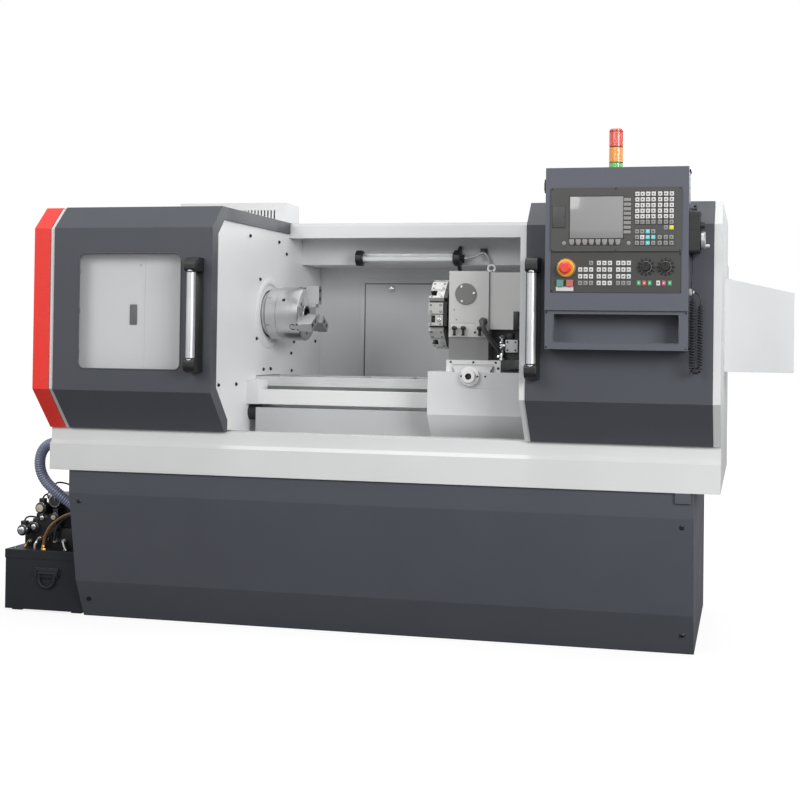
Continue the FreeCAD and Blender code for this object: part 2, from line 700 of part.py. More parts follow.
def make_base():
    panel = folded(at.base_left, at.base_right, base_section(0)[::-1], at.panel_wall)
    finish("base_front_panel", panel)
    set_back = at.panel_wall + SLIM
    front = base_section(set_back) + [(at.base_front + at.base_toe + set_back, 0)]
    hull = prism("X", at.base_left, at.base_right,
                 front + [(at.base_back, 0), (at.base_back, at.tray_bottom)])
    middle = at.bulkhead_face
    low, high = at.frame_wall, at.tray_bottom - at.frame_wall
    inside = set_back + at.frame_wall
    bay_front = [(at.base_front + inside, high), (at.base_front + inside, at.base_bend_high),
                 (at.base_front + at.base_lean + inside, at.base_bend_low),
                 (at.base_front + at.base_toe + inside, low)]
    back = at.base_back - at.frame_wall
    motor_bay = prism("X", at.base_left + at.frame_wall, middle,
                      bay_front + [(at.base_back + 1, low), (at.base_back + 1, high)])
    chip_bay = prism("X", middle + at.frame_wall, at.base_right - at.frame_wall,
                     bay_front + [(back, low), (back, high)])
    belt_way = belt_slot(high - 1, at.tray_bottom + 1)
    finish("base_frame", cut(hull, motor_bay, chip_bay, belt_way))


def belt_slot(low, high):
    """The way for the drive belt through the base and the tray."""
    clear = 16
    return block(spindle_pulley_left - clear, spindle_pulley_right + clear,
                 at.axis_depth - at.pulley_radius - clear, at.motor_depth + at.motor_pulley_radius + clear,
                 low, high)


def make_tray():
    """A welded tray: floor, walls and the rail that the doors run on."""
    wall = at.tray_wall
    left, right = at.casing_left + wall, at.casing_right - wall
    back = at.guard_back - 1
    step_high = at.tray_face_high + at.tray_step
    lip = [(at.tray_front, at.tray_face_high), (rail_front, step_high),
           (rail_front, rail_top), (rail_back, rail_top)]
    ends = [(back, rail_top), (back, at.tray_bottom), (at.tray_front, at.tray_bottom)] + lip[:3]
    spout_left = at.casing_left - at.spout_reach
    spout = rod("X", spout_left, at.tank_front, spout_high, at.drain_radius + at.spout_wall, at.spout_reach)
    drain = rod("X", spout_left - 1, at.tank_front, spout_high, at.drain_bore, at.spout_reach + wall + 2)
    middle = at.bulkhead_face
    drive_floor = cut(block(left, middle, at.tray_front, back, at.tray_bottom, tray_floor),
                      belt_slot(at.tray_bottom - 1, tray_floor + 1))
    finish("chip_tray", group(
        drive_floor,
        block(middle, right, at.tray_front, back, at.tray_bottom, tray_floor),
        block(left, right, at.tray_front, at.tray_front + wall, tray_floor, at.tray_face_high),
        folded(left, right, lip, wall),
        block(left, right, back - wall, back, tray_floor, rail_top),
        cut(fuse(prism("X", at.casing_left, left, ends), spout), drain),
        prism("X", right, at.casing_right, ends),
        block(at.base_right - 60, at.base_right - 10, at.base_front - 8, at.base_front - SLIM,
              at.tray_bottom - 34, at.tray_bottom)))


def make_bed():
    inner_front = at.bed_front + at.bed_waist
    inner_back = at.bed_back - at.bed_waist
    lip = at.bed_top - at.way_lip
    section = [(at.bed_front - 12, tray_floor), (at.bed_back + 12, tray_floor),
               (at.bed_back + 12, tray_floor + at.bed_floor), (inner_back, tray_floor + at.bed_floor + 24),
               (inner_back, lip - at.bed_waist), (at.bed_back, lip), (at.bed_back, at.bed_top),
               (at.bed_front, at.bed_top), (at.bed_front, lip), (inner_front, lip - at.bed_waist),
               (inner_front, tray_floor + at.bed_floor + 24), (at.bed_front - 12, tray_floor + at.bed_floor)]
    casting = prism("X", at.bed_left, at.bed_right, section)
    bays = int(at.bed_bays)
    start = at.bulkhead_face + at.rib_wall
    pitch = (at.bed_right - start) / at.bed_bays
    openings = []
    for index in range(bays):
        left = start + pitch * index
        openings.append(block(left, left + pitch - at.rib_wall, at.bed_front + at.way_width,
                              at.bed_back - at.way_width, tray_floor + at.bed_floor, at.bed_top + 1))
    holder = block(at.bed_right - 40, at.bed_right, at.cover_front - 4, at.bed_front + at.bed_waist,
                   screw_height - 46, cover_low - at.slide_gap)
    hole = rod("X", at.bed_right - 41, at.screw_depth, screw_height, at.screw_radius + 0.05, 42)
    finish("bed", cut(fuse(casting, holder), hole, *openings))


# ---------------------------------------------------------------- guards

def make_end_panels():
    """The painted left end, the right end and the guard at the tail."""
    wall = at.cover_wall
    upper_back = at.header_front + wall
    roof = [(at.beam_front + at.beam_depth, at.roof_high - at.door_wall), (upper_back, at.beam_high + wall),
            (upper_back, at.header_low + wall), (rear_face, at.header_low + wall)]
    corners = guard_path(2)[1:-1]
    back = roof + [(rear_face, at.door_bottom)]
    inner = at.casing_left + at.end_panel_width
    plate = cut(prism("X", at.casing_left, at.casing_left + at.door_wall, corners + back),
                rod("X", at.casing_left - 1, at.axis_depth, axis_height, at.bar_hole, at.door_wall + 2))
    band = folded(at.casing_left, inner, guard_path(2)[:-1] + roof, at.door_wall)
    finish("left_end_panel", fuse(plate, band))

    outer = at.casing_right - at.door_wall
    plate = prism("X", outer, at.casing_right, corners + back)
    band = folded(right_door_right + 1, at.casing_right, guard_path(2)[:-1] + roof, at.door_wall)
    margin = 12
    hood_back = at.hood_front + at.hood_depth
    way = block(outer - 1, at.casing_right + 1, at.hood_front + margin, hood_back - margin,
                at.hood_low + margin, at.hood_high - at.hood_drop - margin)
    finish("right_end_panel", fuse(cut(plate, way), band))

    hood_right = at.casing_right + at.hood_length
    outline = [(at.casing_right, at.hood_low), (hood_right, at.hood_low),
               (hood_right, at.hood_high - at.hood_drop), (at.casing_right, at.hood_high)]
    hollow = [(at.casing_right - 1, at.hood_low + wall), (hood_right - wall, at.hood_low + wall),
              (hood_right - wall, at.hood_high - at.hood_drop - wall),
              (at.casing_right - 1, at.hood_high - wall)]
    shell = cut(prism("Y", at.hood_front, hood_back, outline),
                prism("Y", at.hood_front + wall, hood_back - wall, hollow))
    rim = 14
    flange = cut(block(at.casing_right, at.casing_right + wall, at.hood_front - rim, hood_back + rim,
                       at.hood_low - rim, at.hood_high + rim),
                 block(at.casing_right - 1, at.casing_right + wall + 1, at.hood_front + wall,
                       hood_back - wall, at.hood_low + wall, at.hood_high - wall))
    finish("tail_hood", fuse(shell, flange))


def make_rear_wall():
    """The stepped rear wall of welded plates, and the hatch that hangs in it."""
    left, right = at.casing_left + at.end_panel_width, right_door_right + 1
    wall = at.cover_wall
    upper_back = at.header_front + wall
    hatch_right = at.hatch_left + at.hatch_width
    hole = block(at.hatch_left, hatch_right, at.guard_back - 1, rear_face + 1, at.hatch_low, at.hatch_high)
    hinge_x, hinge_y = hatch_right + 22.5, rear_face + 6
    heights = (at.hatch_low + 70, at.hatch_high - 120)
    barrels = knuckles(hinge_x, hinge_y, heights, (hinge_x - 2, hinge_x + 2), rear_face - 1, False)
    lower = block(left, right, at.guard_back, rear_face, rail_top, at.header_low)
    finish("rear_wall", group(
        fuse(cut(lower, hole), *barrels),
        block(left, right, upper_back, rear_face, at.header_low, at.header_low + wall),
        block(left, right, at.header_front, upper_back, at.header_low, at.beam_high),
        block(left, right, at.beam_front + at.beam_depth, upper_back, at.beam_high, at.beam_high + wall)))
    gap = at.slide_gap + 0.7
    leaf = slab("Y", at.guard_back, rear_face, at.hatch_left + gap, hatch_right - gap,
                at.hatch_low + gap, at.hatch_high - gap, at.door_wall * 2)
    ear = 34
    rim = cut(block(at.hatch_left - ear / 2, hatch_right + ear / 2, rear_face + at.slide_gap, rear_face + 18,
                    at.hatch_low + 20, at.hatch_high + 10),
              block(at.hatch_left + ear / 2, hatch_right - ear / 2, rear_face, rear_face + 19,
                    at.hatch_low + 36, at.hatch_high - ear / 2))
    bridge = cut(block(at.hatch_left + gap, hatch_right - gap, at.guard_back + 1, rear_face + 2,
                       at.hatch_low + 36 - ear / 2, at.hatch_high - gap),
                 block(at.hatch_left + ear / 2, hatch_right - ear / 2, at.guard_back, rear_face + 3,
                       at.hatch_low + 36, at.hatch_high - ear / 2))
    locks = [rod("Y", at.hatch_left + 117, at.guard_back - 8, z, 9, 10)
             for z in (at.hatch_high - 22, at.hatch_low + 48)]
    barrels = knuckles(hinge_x, hinge_y, heights, (hatch_right + 12, hinge_x), hinge_y - 2, True)
    finish("rear_hatch", fuse(leaf, rim, bridge, *locks, *barrels))


def make_top_beam():
    left = at.casing_left + at.end_panel_width
    wall = 3
    back = at.beam_front + at.beam_depth
    tube = cut(block(left, right_door_right, at.beam_front, back, at.beam_low, at.beam_high),
               block(left - 1, right_door_right + 1, at.beam_front + wall, back - wall,
                     at.beam_low + wall, at.beam_high - wall))
    strip = block(left, right_door_right, at.beam_front + 4, back - 4, at.beam_high,
                  at.roof_high - at.door_wall - at.slide_gap)
    finish("top_beam", fuse(tube, strip))


def guard_inside(inset):
    """The outline of a wall that stands inside the doors, from the rail to the roof."""
    path = guard_path(inset)
    foot = at.door_bottom + 5
    return [(rail_back + 2, tray_floor + SLIM), (rail_back + 2, foot), (path[1][0], foot)] + path[2:5]


def make_bulkhead():
    behind = at.bulkhead_face - at.bulkhead_wall
    outline = guard_inside(10) + [
        (at.beam_front - 1, at.roof_high - 5), (at.beam_front - 1, at.beam_low - 1),
        (at.beam_front + at.beam_depth + 1, at.beam_low - 1),
        (at.beam_front + at.beam_depth + 1, at.beam_high - 5), (at.header_front - 1, at.beam_high - 5),
        (at.header_front - 1, at.header_low - 1), (at.guard_back - 1, at.header_low - 1),
        (at.guard_back - 1, at.door_bottom), (at.guard_back - at.tray_wall - 2, at.door_bottom),
        (at.guard_back - at.tray_wall - 2, tray_floor + SLIM)]
    wall = prism("X", behind, at.bulkhead_face, outline)
    ahead = at.bulkhead_face + 1
    gap = 2
    bed_way = fuse(block(behind - 1, ahead, at.bed_front - gap, at.bed_back + gap,
                         tray_floor, at.bed_top + gap),
                   block(behind - 1, ahead, at.bed_front - 12 - gap, at.bed_back + 12 + gap,
                         tray_floor, tray_floor + at.bed_floor + 24))
    nose_way = rod("X", behind - 1, at.axis_depth, axis_height, at.nose_radius + 4, at.bulkhead_wall + 2)
    bush = ring("X", at.bulkhead_face, at.screw_depth, screw_height, at.bush_radius,
                at.screw_radius + 0.05, at.bush_length)
    screw_way = rod("X", behind - 1, at.screw_depth, screw_height, at.screw_radius + 1, at.bulkhead_wall + 2)
    finish("bulkhead", fuse(cut(wall, bed_way, nose_way, screw_way), bush))


BULKHEAD_BOLTS = [
    # front to back, height
    (-144, 1240), (-171, 1020), (-502, 860), (-352, 858), (-100, 905), (-30, 905), (191, 893), (185, 962),
    (213, 1007), (462, 1009), (-243, 1394), (40, 1392), (120, 1351), (191, 827)]


def make_bolts():
    """The black cover bolts of the bulkhead and of the base front."""
    heads = []
    for y, z in BULKHEAD_BOLTS:
        heads.append(rod("X", at.bulkhead_face, y, z, at.bolt_head, at.bolt_height))
    slope = at.base_lean / (at.base_bend_high - at.base_bend_low)
    high = at.base_bend_high - 28
    toe = (at.base_toe - at.base_lean) / (at.base_bend_low - at.panel_lift)
    low = at.base_bend_low / 2
    for x in (at.base_left + at.base_bolt_inset, at.base_right - at.base_bolt_inset):
        y_high = at.base_front + slope * (at.base_bend_high - high)
        y_low = at.base_front + at.base_lean + toe * (at.base_bend_low - low)
        for y, z, rise in ((y_high, high, slope), (y_low, low, toe)):
            head = rod("Y", x, y, z, at.bolt_head, at.bolt_height)
            lean = math.degrees(math.atan(float(rise)))
            head.Placement = Placement(Vector(), Rotation(Vector(1, 0, 0), 90 + lean))
            place(head, x, y - 0.05, z)
            heads.append(head)
    finish("casing_bolts", group(*heads))


def make_headstock_cover():
    inset = 52
    left = at.casing_left + at.end_panel_width
    right = at.bulkhead_face - at.bulkhead_wall
    path = [(rail_back + 3, at.door_bottom + 3)] + guard_path(inset)[2:5] + [
        (at.beam_front - 12, at.roof_high - inset)]
    shell = folded(left, right, path, at.cover_wall)
    edge = guard_path(6)[:5] + [(at.beam_front - 12, at.roof_high - 6)]
    strip = folded(left, left + at.end_strip_width, edge, inset)
    hatch_left = left_door_left + at.glass_left + at.glass_width * 0.585
    hatch = slab("Y", at.guard_front + inset - 2, at.guard_front + inset, left + at.end_strip_width + 6,
                 hatch_left, at.glass_low - 30, at.glass_high - 12, at.door_wall * 3)
    pull = slab("Y", at.guard_front + inset - 3, at.guard_front + inset - 1, hatch_left - 58, hatch_left - 26,
                at.glass_low + 150, at.glass_low + 225, at.door_wall * 7)
    finish("headstock_cover", cut(fuse(shell, strip, hatch), pull))


# ---------------------------------------------------------------- doors

def door_shell(left, right):
    """A sliding door: folded skin with a deep flange at each end, and its roof."""
    skin = folded(left, right, guard_path(), at.door_wall)
    rim = guard_path()[:-1] + [(at.beam_front - 2, at.roof_high)]
    ends = [folded(low, low + at.door_wall, rim, at.door_flange) for low in (left, right - at.door_wall)]
    return skin, ends


def handle(x, face):
    """A round bar between two feet on a door face."""
    axis_y = face - at.handle_reach
    foot_back = face
    half = at.handle_foot_width / 2
    feet = []
    for low in (at.handle_low, at.handle_high - at.handle_foot):
        feet.append(block(x - half, x + half, axis_y - at.handle_bar_size * 0.7, foot_back,
                          low, low + at.handle_foot))
    bar = rod("Z", x, axis_y, at.handle_low + at.handle_foot, at.handle_bar_size,
              at.handle_high - at.handle_low - at.handle_foot * 2)
    return group(bar, *feet)


def make_left_door():
    skin, ends = door_shell(left_door_left, left_door_right)
    window_left = left_door_left + at.glass_left
    window_right = window_left + at.glass_width
    hole = slab("Y", at.guard_front - 1, at.guard_front + at.door_wall + 1, window_left, window_right,
                at.glass_low, at.glass_high, at.glass_corner)
    finish("left_door", fuse(cut(skin, hole), *ends))
    pane_front = at.guard_front + at.door_wall
    pane = slab("Y", pane_front, pane_front + at.glass_thick, window_left - at.glass_lap,
                window_right + at.glass_lap, at.glass_low - at.glass_lap, at.glass_high + at.glass_lap,
                at.glass_corner)
    finish("left_window", pane)
    finish("left_handle", handle(left_door_right - at.handle_inset, at.guard_front))


def make_right_door():
    skin, ends = door_shell(right_door_left, right_door_right)
    strip = folded(right_door_left - at.edge_strip, right_door_left, guard_path(3)[1:4], at.door_wall * 6)
    finish("right_door", fuse(skin, strip, *ends))
    finish("right_handle", handle(right_door_left + at.handle_inset - 22, at.guard_front))


# ---------------------------------------------------------------- headstock, spindle, chuck

def make_headstock():
    bevel = at.headstock_chamfer
    outline = [(at.headstock_front, at.bed_top), (at.headstock_back, at.bed_top),
               (at.headstock_back, headstock_top - bevel), (at.headstock_back - bevel, headstock_top),
               (at.headstock_front + bevel, headstock_top), (at.headstock_front, headstock_top - bevel)]
    casting = prism("X", at.headstock_left, at.headstock_right, outline)
    length = at.headstock_right - at.headstock_left
    gallery = rod("X", at.headstock_left - 1, at.axis_depth, axis_height, at.headstock_bore, length + 2)
    seats = [rod("X", start, at.axis_depth, axis_height, at.bearing_outer, at.bearing_width + 1)
             for start in (at.headstock_left - 1, at.headstock_right - at.bearing_width)]
    finish("headstock", cut(casting, gallery, *seats))
    rings = []
    for start in (at.headstock_left, at.headstock_right - at.bearing_width):
        for share, outer, inner in ((0, at.bearing_outer, at.bearing_outer - 9),
                                    (0, at.bearing_inner + 9, at.bearing_inner)):
            rings.append(ring("X", start + share, at.axis_depth, axis_height, outer, inner, at.bearing_width))
        rings.append(ring("X", start + 6, at.axis_depth, axis_height, at.bearing_outer - 9,
                          at.bearing_inner + 9, at.bearing_width - 12))
    finish("spindle_bearings", group(*rings))


def belt_grooves(rim):
    """The rim of a belt pulley as a section, groove after groove."""
    pitch = at.pulley_width / at.pulley_grooves
    groove = at.groove_half
    section = []
    for index in range(int(at.pulley_grooves)):
        middle = spindle_pulley_left + pitch * (index + 0.5)
        section += [(middle - groove, rim), (middle - groove / 2, rim - groove),
                    (middle + groove / 2, rim - groove), (middle + groove, rim)]
    return section


def make_spindle():
    shaft = at.bearing_inner - 0.05
    nose = at.chuck_start - at.nose_width
    rim = at.pulley_radius
    profile = [(spindle_pulley_left - 14, at.spindle_bore), (spindle_pulley_left - 14, shaft - 14),
               (spindle_pulley_left, shaft - 14), (spindle_pulley_left, rim)]
    profile += belt_grooves(rim)
    profile += [(spindle_pulley_right, rim), (spindle_pulley_right, shaft),
                (nose, shaft), (nose, at.nose_radius), (at.chuck_start, at.nose_radius),
                (at.chuck_start, at.spindle_bore)]
    finish("spindle", turned("X", (at.axis_depth, axis_height), profile))


def make_chuck():
    start = at.chuck_start
    seam = start + at.plate_width
    groove = 2.5
    edge = 4
    profile = [(start, at.chuck_bore), (start, at.plate_radius - edge), (start + edge, at.plate_radius),
               (seam - groove, at.plate_radius), (seam - groove, at.plate_radius - edge),
               (seam, at.plate_radius - edge), (seam, at.chuck_radius), (chuck_face - edge, at.chuck_radius),
               (chuck_face, at.chuck_radius - edge), (chuck_face, at.chuck_bore)]
    shell = turned("X", (at.axis_depth, axis_height), profile)
    tools = []
    clear = at.slide_gap
    slot_half = at.jaw_guide_width / 2 + clear
    for angle in (0, 120, 240):
        slot = block(chuck_face - at.jaw_guide - clear, chuck_face + 1, at.axis_depth - slot_half,
                     at.axis_depth + slot_half, axis_height, axis_height + at.chuck_radius + 5)
        tools.append(turn_about_spindle(slot, angle, at.axis_depth, axis_height))
        half = at.key_socket / 2
        middle = seam + at.chuck_width * 0.32
        socket = block(middle - half, middle + half, at.axis_depth - half, at.axis_depth + half,
                       axis_height + at.chuck_radius - 18, axis_height + at.chuck_radius + 5)
        tools.append(turn_about_spindle(socket, angle + 60, at.axis_depth, axis_height))
    finish("chuck_body", cut(shell, *tools))

    low = axis_height + at.jaw_inner
    high = low + at.jaw_length
    seat = chuck_face + at.jaw_base
    front = seat + at.jaw_top
    half = at.jaw_width / 2
    for number, angle in enumerate((0, 120, 240), start=1):
        base = block(chuck_face + clear, seat, at.axis_depth - half + 3, at.axis_depth + half - 3,
                     low + 6, high)
        top = prism("Y", at.axis_depth - half, at.axis_depth + half, [
            (seat, low), (front - at.jaw_step, low), (front - at.jaw_step, low + at.jaw_step),
            (front, low + at.jaw_step), (front, high), (seat, high)])
        guide = block(chuck_face - at.jaw_guide, chuck_face + 1, at.axis_depth - at.jaw_guide_width / 2,
                      at.axis_depth + at.jaw_guide_width / 2, low + 2, high - 2)
        bolts = [rod("X", front - at.jaw_bolt, at.axis_depth, low + at.jaw_length * share, at.jaw_bolt,
                     at.jaw_bolt + 1) for share in (0.4, 0.78)]
        jaw = cut(fuse(base, top, guide), *bolts)
        finish(f"chuck_jaw_{number}", turn_about_spindle(jaw, angle, at.axis_depth, axis_height))


def make_drive():
    """The main motor in the base, its pulley and the belt up to the spindle."""
    motor_left = spindle_pulley_right + 14
    y, z = at.motor_depth, at.motor_height
    profile = [(motor_left, at.motor_shaft + 1), (motor_left, at.motor_radius - 22),
               (motor_left + 26, at.motor_radius)]
    pitch = (at.motor_length - 100) / at.motor_fins
    valley = at.motor_radius - 9
    for index in range(int(at.motor_fins)):
        start = motor_left + 30 + pitch * index
        profile += [(start, at.motor_radius), (start + pitch * 0.45, at.motor_radius),
                    (start + pitch * 0.5, valley), (start + pitch * 0.9, valley)]
    end = motor_left + at.motor_length
    profile += [(end - 60, at.motor_radius), (end, at.motor_radius - 10), (end, at.motor_shaft + 1)]
    shell = turned("X", (y, z), profile)
    foot_top = z - at.motor_radius * 0.7
    foot = block(motor_left + 50, motor_left + 300, y - 110, y + 110, at.frame_wall, foot_top)
    bore = rod("X", motor_left - 1, y, z, at.motor_shaft + 1, at.motor_length + 2)
    shed = block(motor_left + 90, motor_left + 220, y - 60, y + 60,
                 z + at.motor_radius - 16, z + at.motor_radius + 60)
    finish("main_motor", cut(fuse(shell, foot, shed), bore))

    rim = at.motor_pulley_radius
    shaft = [(spindle_pulley_left, 0), (spindle_pulley_left, rim)] + belt_grooves(rim)
    shaft += [(spindle_pulley_right, rim), (spindle_pulley_right, at.motor_shaft),
              (end - 20, at.motor_shaft), (end - 20, 0)]
    finish("motor_pulley", turned("X", (y, z), shaft))
    make_belt()


def make_belt():
    """A closed belt round both pulleys: two arcs and their common tangents."""
    first = Vector(0, at.axis_depth, axis_height)
    second = Vector(0, at.motor_depth, at.motor_height)
    apart = first.distanceToPoint(second)
    heading = math.atan2(second.z - first.z, second.y - first.y)

    def loop(extra):
        big, small = at.pulley_radius + extra, at.motor_pulley_radius + extra
        turn = math.acos((float(big) - float(small)) / apart)

        def on(centre, radius, angle):
            return Vector(0, centre.y + radius * math.cos(angle), centre.z + radius * math.sin(angle))
        leave_big, join_big = on(first, big, heading - turn), on(first, big, heading + turn)
        join_small, leave_small = on(second, small, heading - turn), on(second, small, heading + turn)
        runs = [Part.Arc(join_big, on(first, big, heading + math.pi), leave_big),
                Part.LineSegment(leave_big, join_small),
                Part.Arc(join_small, on(second, small, heading), leave_small),
                Part.LineSegment(leave_small, join_big)]
        return Part.Face(Part.Wire([run.toShape() for run in runs]))
    clear = at.slide_gap
    face = loop(clear + at.belt_thick).cut(loop(clear))
    belt = doc.addObject("Part::Feature", "Belt")
    belt.Shape = face.extrude(Vector(at.belt_width, 0, 0))
    start = spindle_pulley_left + (at.pulley_width - at.belt_width) / 2
    belt.Placement = Placement(Vector(start, 0, 0), Rotation())
    finish("drive_belt", belt)


# ---------------------------------------------------------------- carriage and turret

def make_feed_screw():
    left = at.bulkhead_face - at.bulkhead_wall - 4
    finish("feed_screw", turned("X", (at.screw_depth, screw_height), [
        (left, 0), (left, at.screw_radius), (at.bed_right + 6, at.screw_radius), (at.bed_right + 6, 0)]))
    right = at.bed_right
    back = at.cover_front + at.cover_depth
    cover = folded(at.bulkhead_face, right, [
        (at.cover_front, cover_low), (at.cover_front, cover_high), (back, cover_high),
        (back, cover_low)], at.cover_wall)
    plate_back = at.cover_front - 4
    plate_top = cover_low - at.guard_gap
    plate_foot = plate_top - at.guard_height
    left = at.bulkhead_face + at.bush_length + 1
    plate = block(left, right, plate_back - at.cover_wall, plate_back, plate_foot, plate_top)
    shelf = block(left, right, plate_back, at.bed_front + at.bed_waist,
                  plate_foot, plate_foot + at.cover_wall)
    finish("screw_cover", group(cover, plate, shelf))


def make_saddle():
    under = at.bed_top + at.slide_gap
    wing = block(at.saddle_left, saddle_right, at.saddle_front, at.cover_front + at.cover_depth + 14,
                 wing_low, saddle_top)
    plate = block(at.saddle_left, saddle_right, at.saddle_front, at.saddle_back, under, saddle_top)
    rear = block(at.saddle_left, saddle_right, at.bed_back + at.slide_gap, at.saddle_back,
                 under - at.way_lip + 6, saddle_top)
    middle = at.slide_left + at.slide_width / 2
    half = at.dovetail_width / 2
    dovetail = prism("Y", at.saddle_front + 12, at.saddle_back, [
        (middle - half, saddle_top), (middle + half, saddle_top),
        (middle + half + at.dovetail_lean, saddle_top + at.dovetail_high),
        (middle - half - at.dovetail_lean, saddle_top + at.dovetail_high)])
    bracket = block(middle - 50, middle + 50, at.cover_front + at.cover_depth + 4, at.bed_front - 6,
                    screw_height - 30, saddle_top)
    nut = rod("X", middle - 50, at.screw_depth, screw_height, at.cover_lift - 3, 100)
    bore = rod("X", middle - 60, at.screw_depth, screw_height, at.screw_radius + 0.05, 120)
    seat = rod("Y", at.cross_screw_side, at.saddle_front - 12, cross_screw_high, at.screw_seat_radius, 12)
    hub = rod("Y", at.cross_screw_side, at.saddle_front - 30, cross_screw_high, at.screw_hub_radius, 20)
    socket = rod("Y", at.cross_screw_side, at.saddle_front - 31, cross_screw_high, 10, 24)
    slide_way = block(at.slide_left - 4, slide_right + 4, at.saddle_front - 40, at.saddle_front + 0.1,
                      saddle_top + at.slide_gap, saddle_top + 60)
    casting = cut(fuse(wing, plate, rear, dovetail, bracket, nut), bore)
    finish("saddle", cut(fuse(casting, cut(fuse(seat, hub), slide_way)), socket))

    front = at.apron_front
    path = [(front + at.apron_lean, apron_low), (front, apron_fold), (front, wing_low)]
    skin = folded(at.saddle_left, saddle_right, path, at.cover_wall)
    side = [(front, wing_low), (front, apron_fold), (front + at.apron_lean, apron_low),
            (front + at.apron_depth, apron_low), (front + at.apron_depth, wing_low)]
    plates = [prism("X", x, x + at.cover_wall, side) for x in (at.saddle_left, saddle_right - at.cover_wall)]
    finish("apron_cover", fuse(skin, *plates))


def make_cross_slide():
    middle = at.slide_left + at.slide_width / 2
    gap = at.slide_gap
    half = at.dovetail_width / 2 + gap
    body = block(at.slide_left, slide_right, at.slide_front, at.slide_back, saddle_top + gap, slide_top)
    groove = prism("Y", at.slide_front - 1, at.slide_back + 1, [
        (middle - half, saddle_top), (middle + half, saddle_top),
        (middle + half + at.dovetail_lean, saddle_top + at.dovetail_high + gap),
        (middle - half - at.dovetail_lean, saddle_top + at.dovetail_high + gap)])
    ear = 22
    wiper = fuse(block(at.slide_left, slide_right, at.slide_front - 6, at.slide_front,
                       slide_top - 14, slide_top),
                 block(at.slide_left, at.slide_left + ear, at.slide_front - 6, at.slide_front,
                       saddle_top + gap, slide_top),
                 block(slide_right - ear, slide_right, at.slide_front - 6, at.slide_front,
                       saddle_top + gap, slide_top))
    finish("cross_slide", fuse(cut(body, groove), wiper))


def make_turret():
    riser_top = turret_seam
    riser = block(at.turret_left, turret_right, at.turret_front, turret_back, slide_top, riser_top)
    head = block(at.turret_left, turret_right, at.turret_front - 3, turret_back, riser_top, turret_top)
    boss_x = at.turret_left + at.turret_cap_side
    cap = rod("Y", boss_x, at.turret_front - 6, turret_cap_high, at.turret_cap_radius, 4)
    drive = block(turret_right, turret_right + at.drive_width, at.turret_front + 6, turret_back - 30,
                  drive_low, turret_top - 4)
    drive_foot = block(turret_right, turret_right + at.drive_width - 18,
                       at.turret_front + 46, turret_back - 44, slide_top + 1, drive_low + 1)
    eye = cut(rod("Y", turret_right - 6, at.turret_front + 60, turret_top + 14, 15, 8),
              rod("Y", turret_right - 6, at.turret_front + 59, turret_top + 14, 9, 10))
    shaft_way = rod("X", at.turret_left - 1, at.disc_centre, axis_height, 32, 60)
    finish("turret_housing", cut(fuse(riser, head, cap, drive, drive_foot, eye), shaft_way))

    body = doc.addObject("PartDesign::Body", "Disc")
    sketch = new_sketch(body, "X", disc_left, (at.disc_centre, axis_height))
    stations = int(at.stations)
    share = 2 * math.pi / stations
    inner = at.disc_radius - at.block_thick / math.cos(share / 2)
    corners = [(inner * math.cos(share * (index + 0.5)), inner * math.sin(share * (index + 0.5)))
               for index in range(stations)]
    polygon(sketch, corners)
    padded(body, sketch, at.disc_width, "X")
    neck = rod("X", disc_left + at.disc_width, at.disc_centre, axis_height, at.disc_neck,
               at.disc_gap - at.slide_gap)
    shaft = rod("X", at.turret_left - 2, at.disc_centre, axis_height, 31.95, 50)
    hub = rod("X", disc_left - 6, at.disc_centre, axis_height, 30, 8)
    flat = axis_height + inner * math.cos(share / 2)
    rim = flat + at.block_thick
    angles = [360 / stations * index for index in range(stations)]
    slot_right = disc_left + at.tool_slot
    slot_front = at.disc_centre - at.slot_side - at.tool_slot / 2
    slot_back = slot_front + at.tool_slot

    def at_station(piece, angle):
        return turn_about_spindle(piece, angle, at.disc_centre, axis_height)
    slots = [at_station(block(disc_left - 1, slot_right, slot_front, slot_back,
                              flat - at.tool_slot, flat + 1), angle) for angle in angles]
    finish("turret_disc", cut(fuse(body, neck, shaft, hub), *slots))

    blocks = []
    edge = at.disc_radius * math.sin(share / 2) - at.block_gap - at.block_thick * math.tan(share / 2)
    seam = at.block_gap / 2
    for angle in angles:
        plain = block(disc_left, disc_right, at.disc_centre + seam, at.disc_centre + edge, flat, rim)
        notched = cut(block(disc_left, disc_right, at.disc_centre - edge, at.disc_centre - seam, flat, rim),
                      block(disc_left - 1, slot_right, slot_front, slot_back, flat - 1, rim + 1))
        blocks += [at_station(plain, angle), at_station(notched, angle)]
    finish("tool_blocks", group(*blocks))


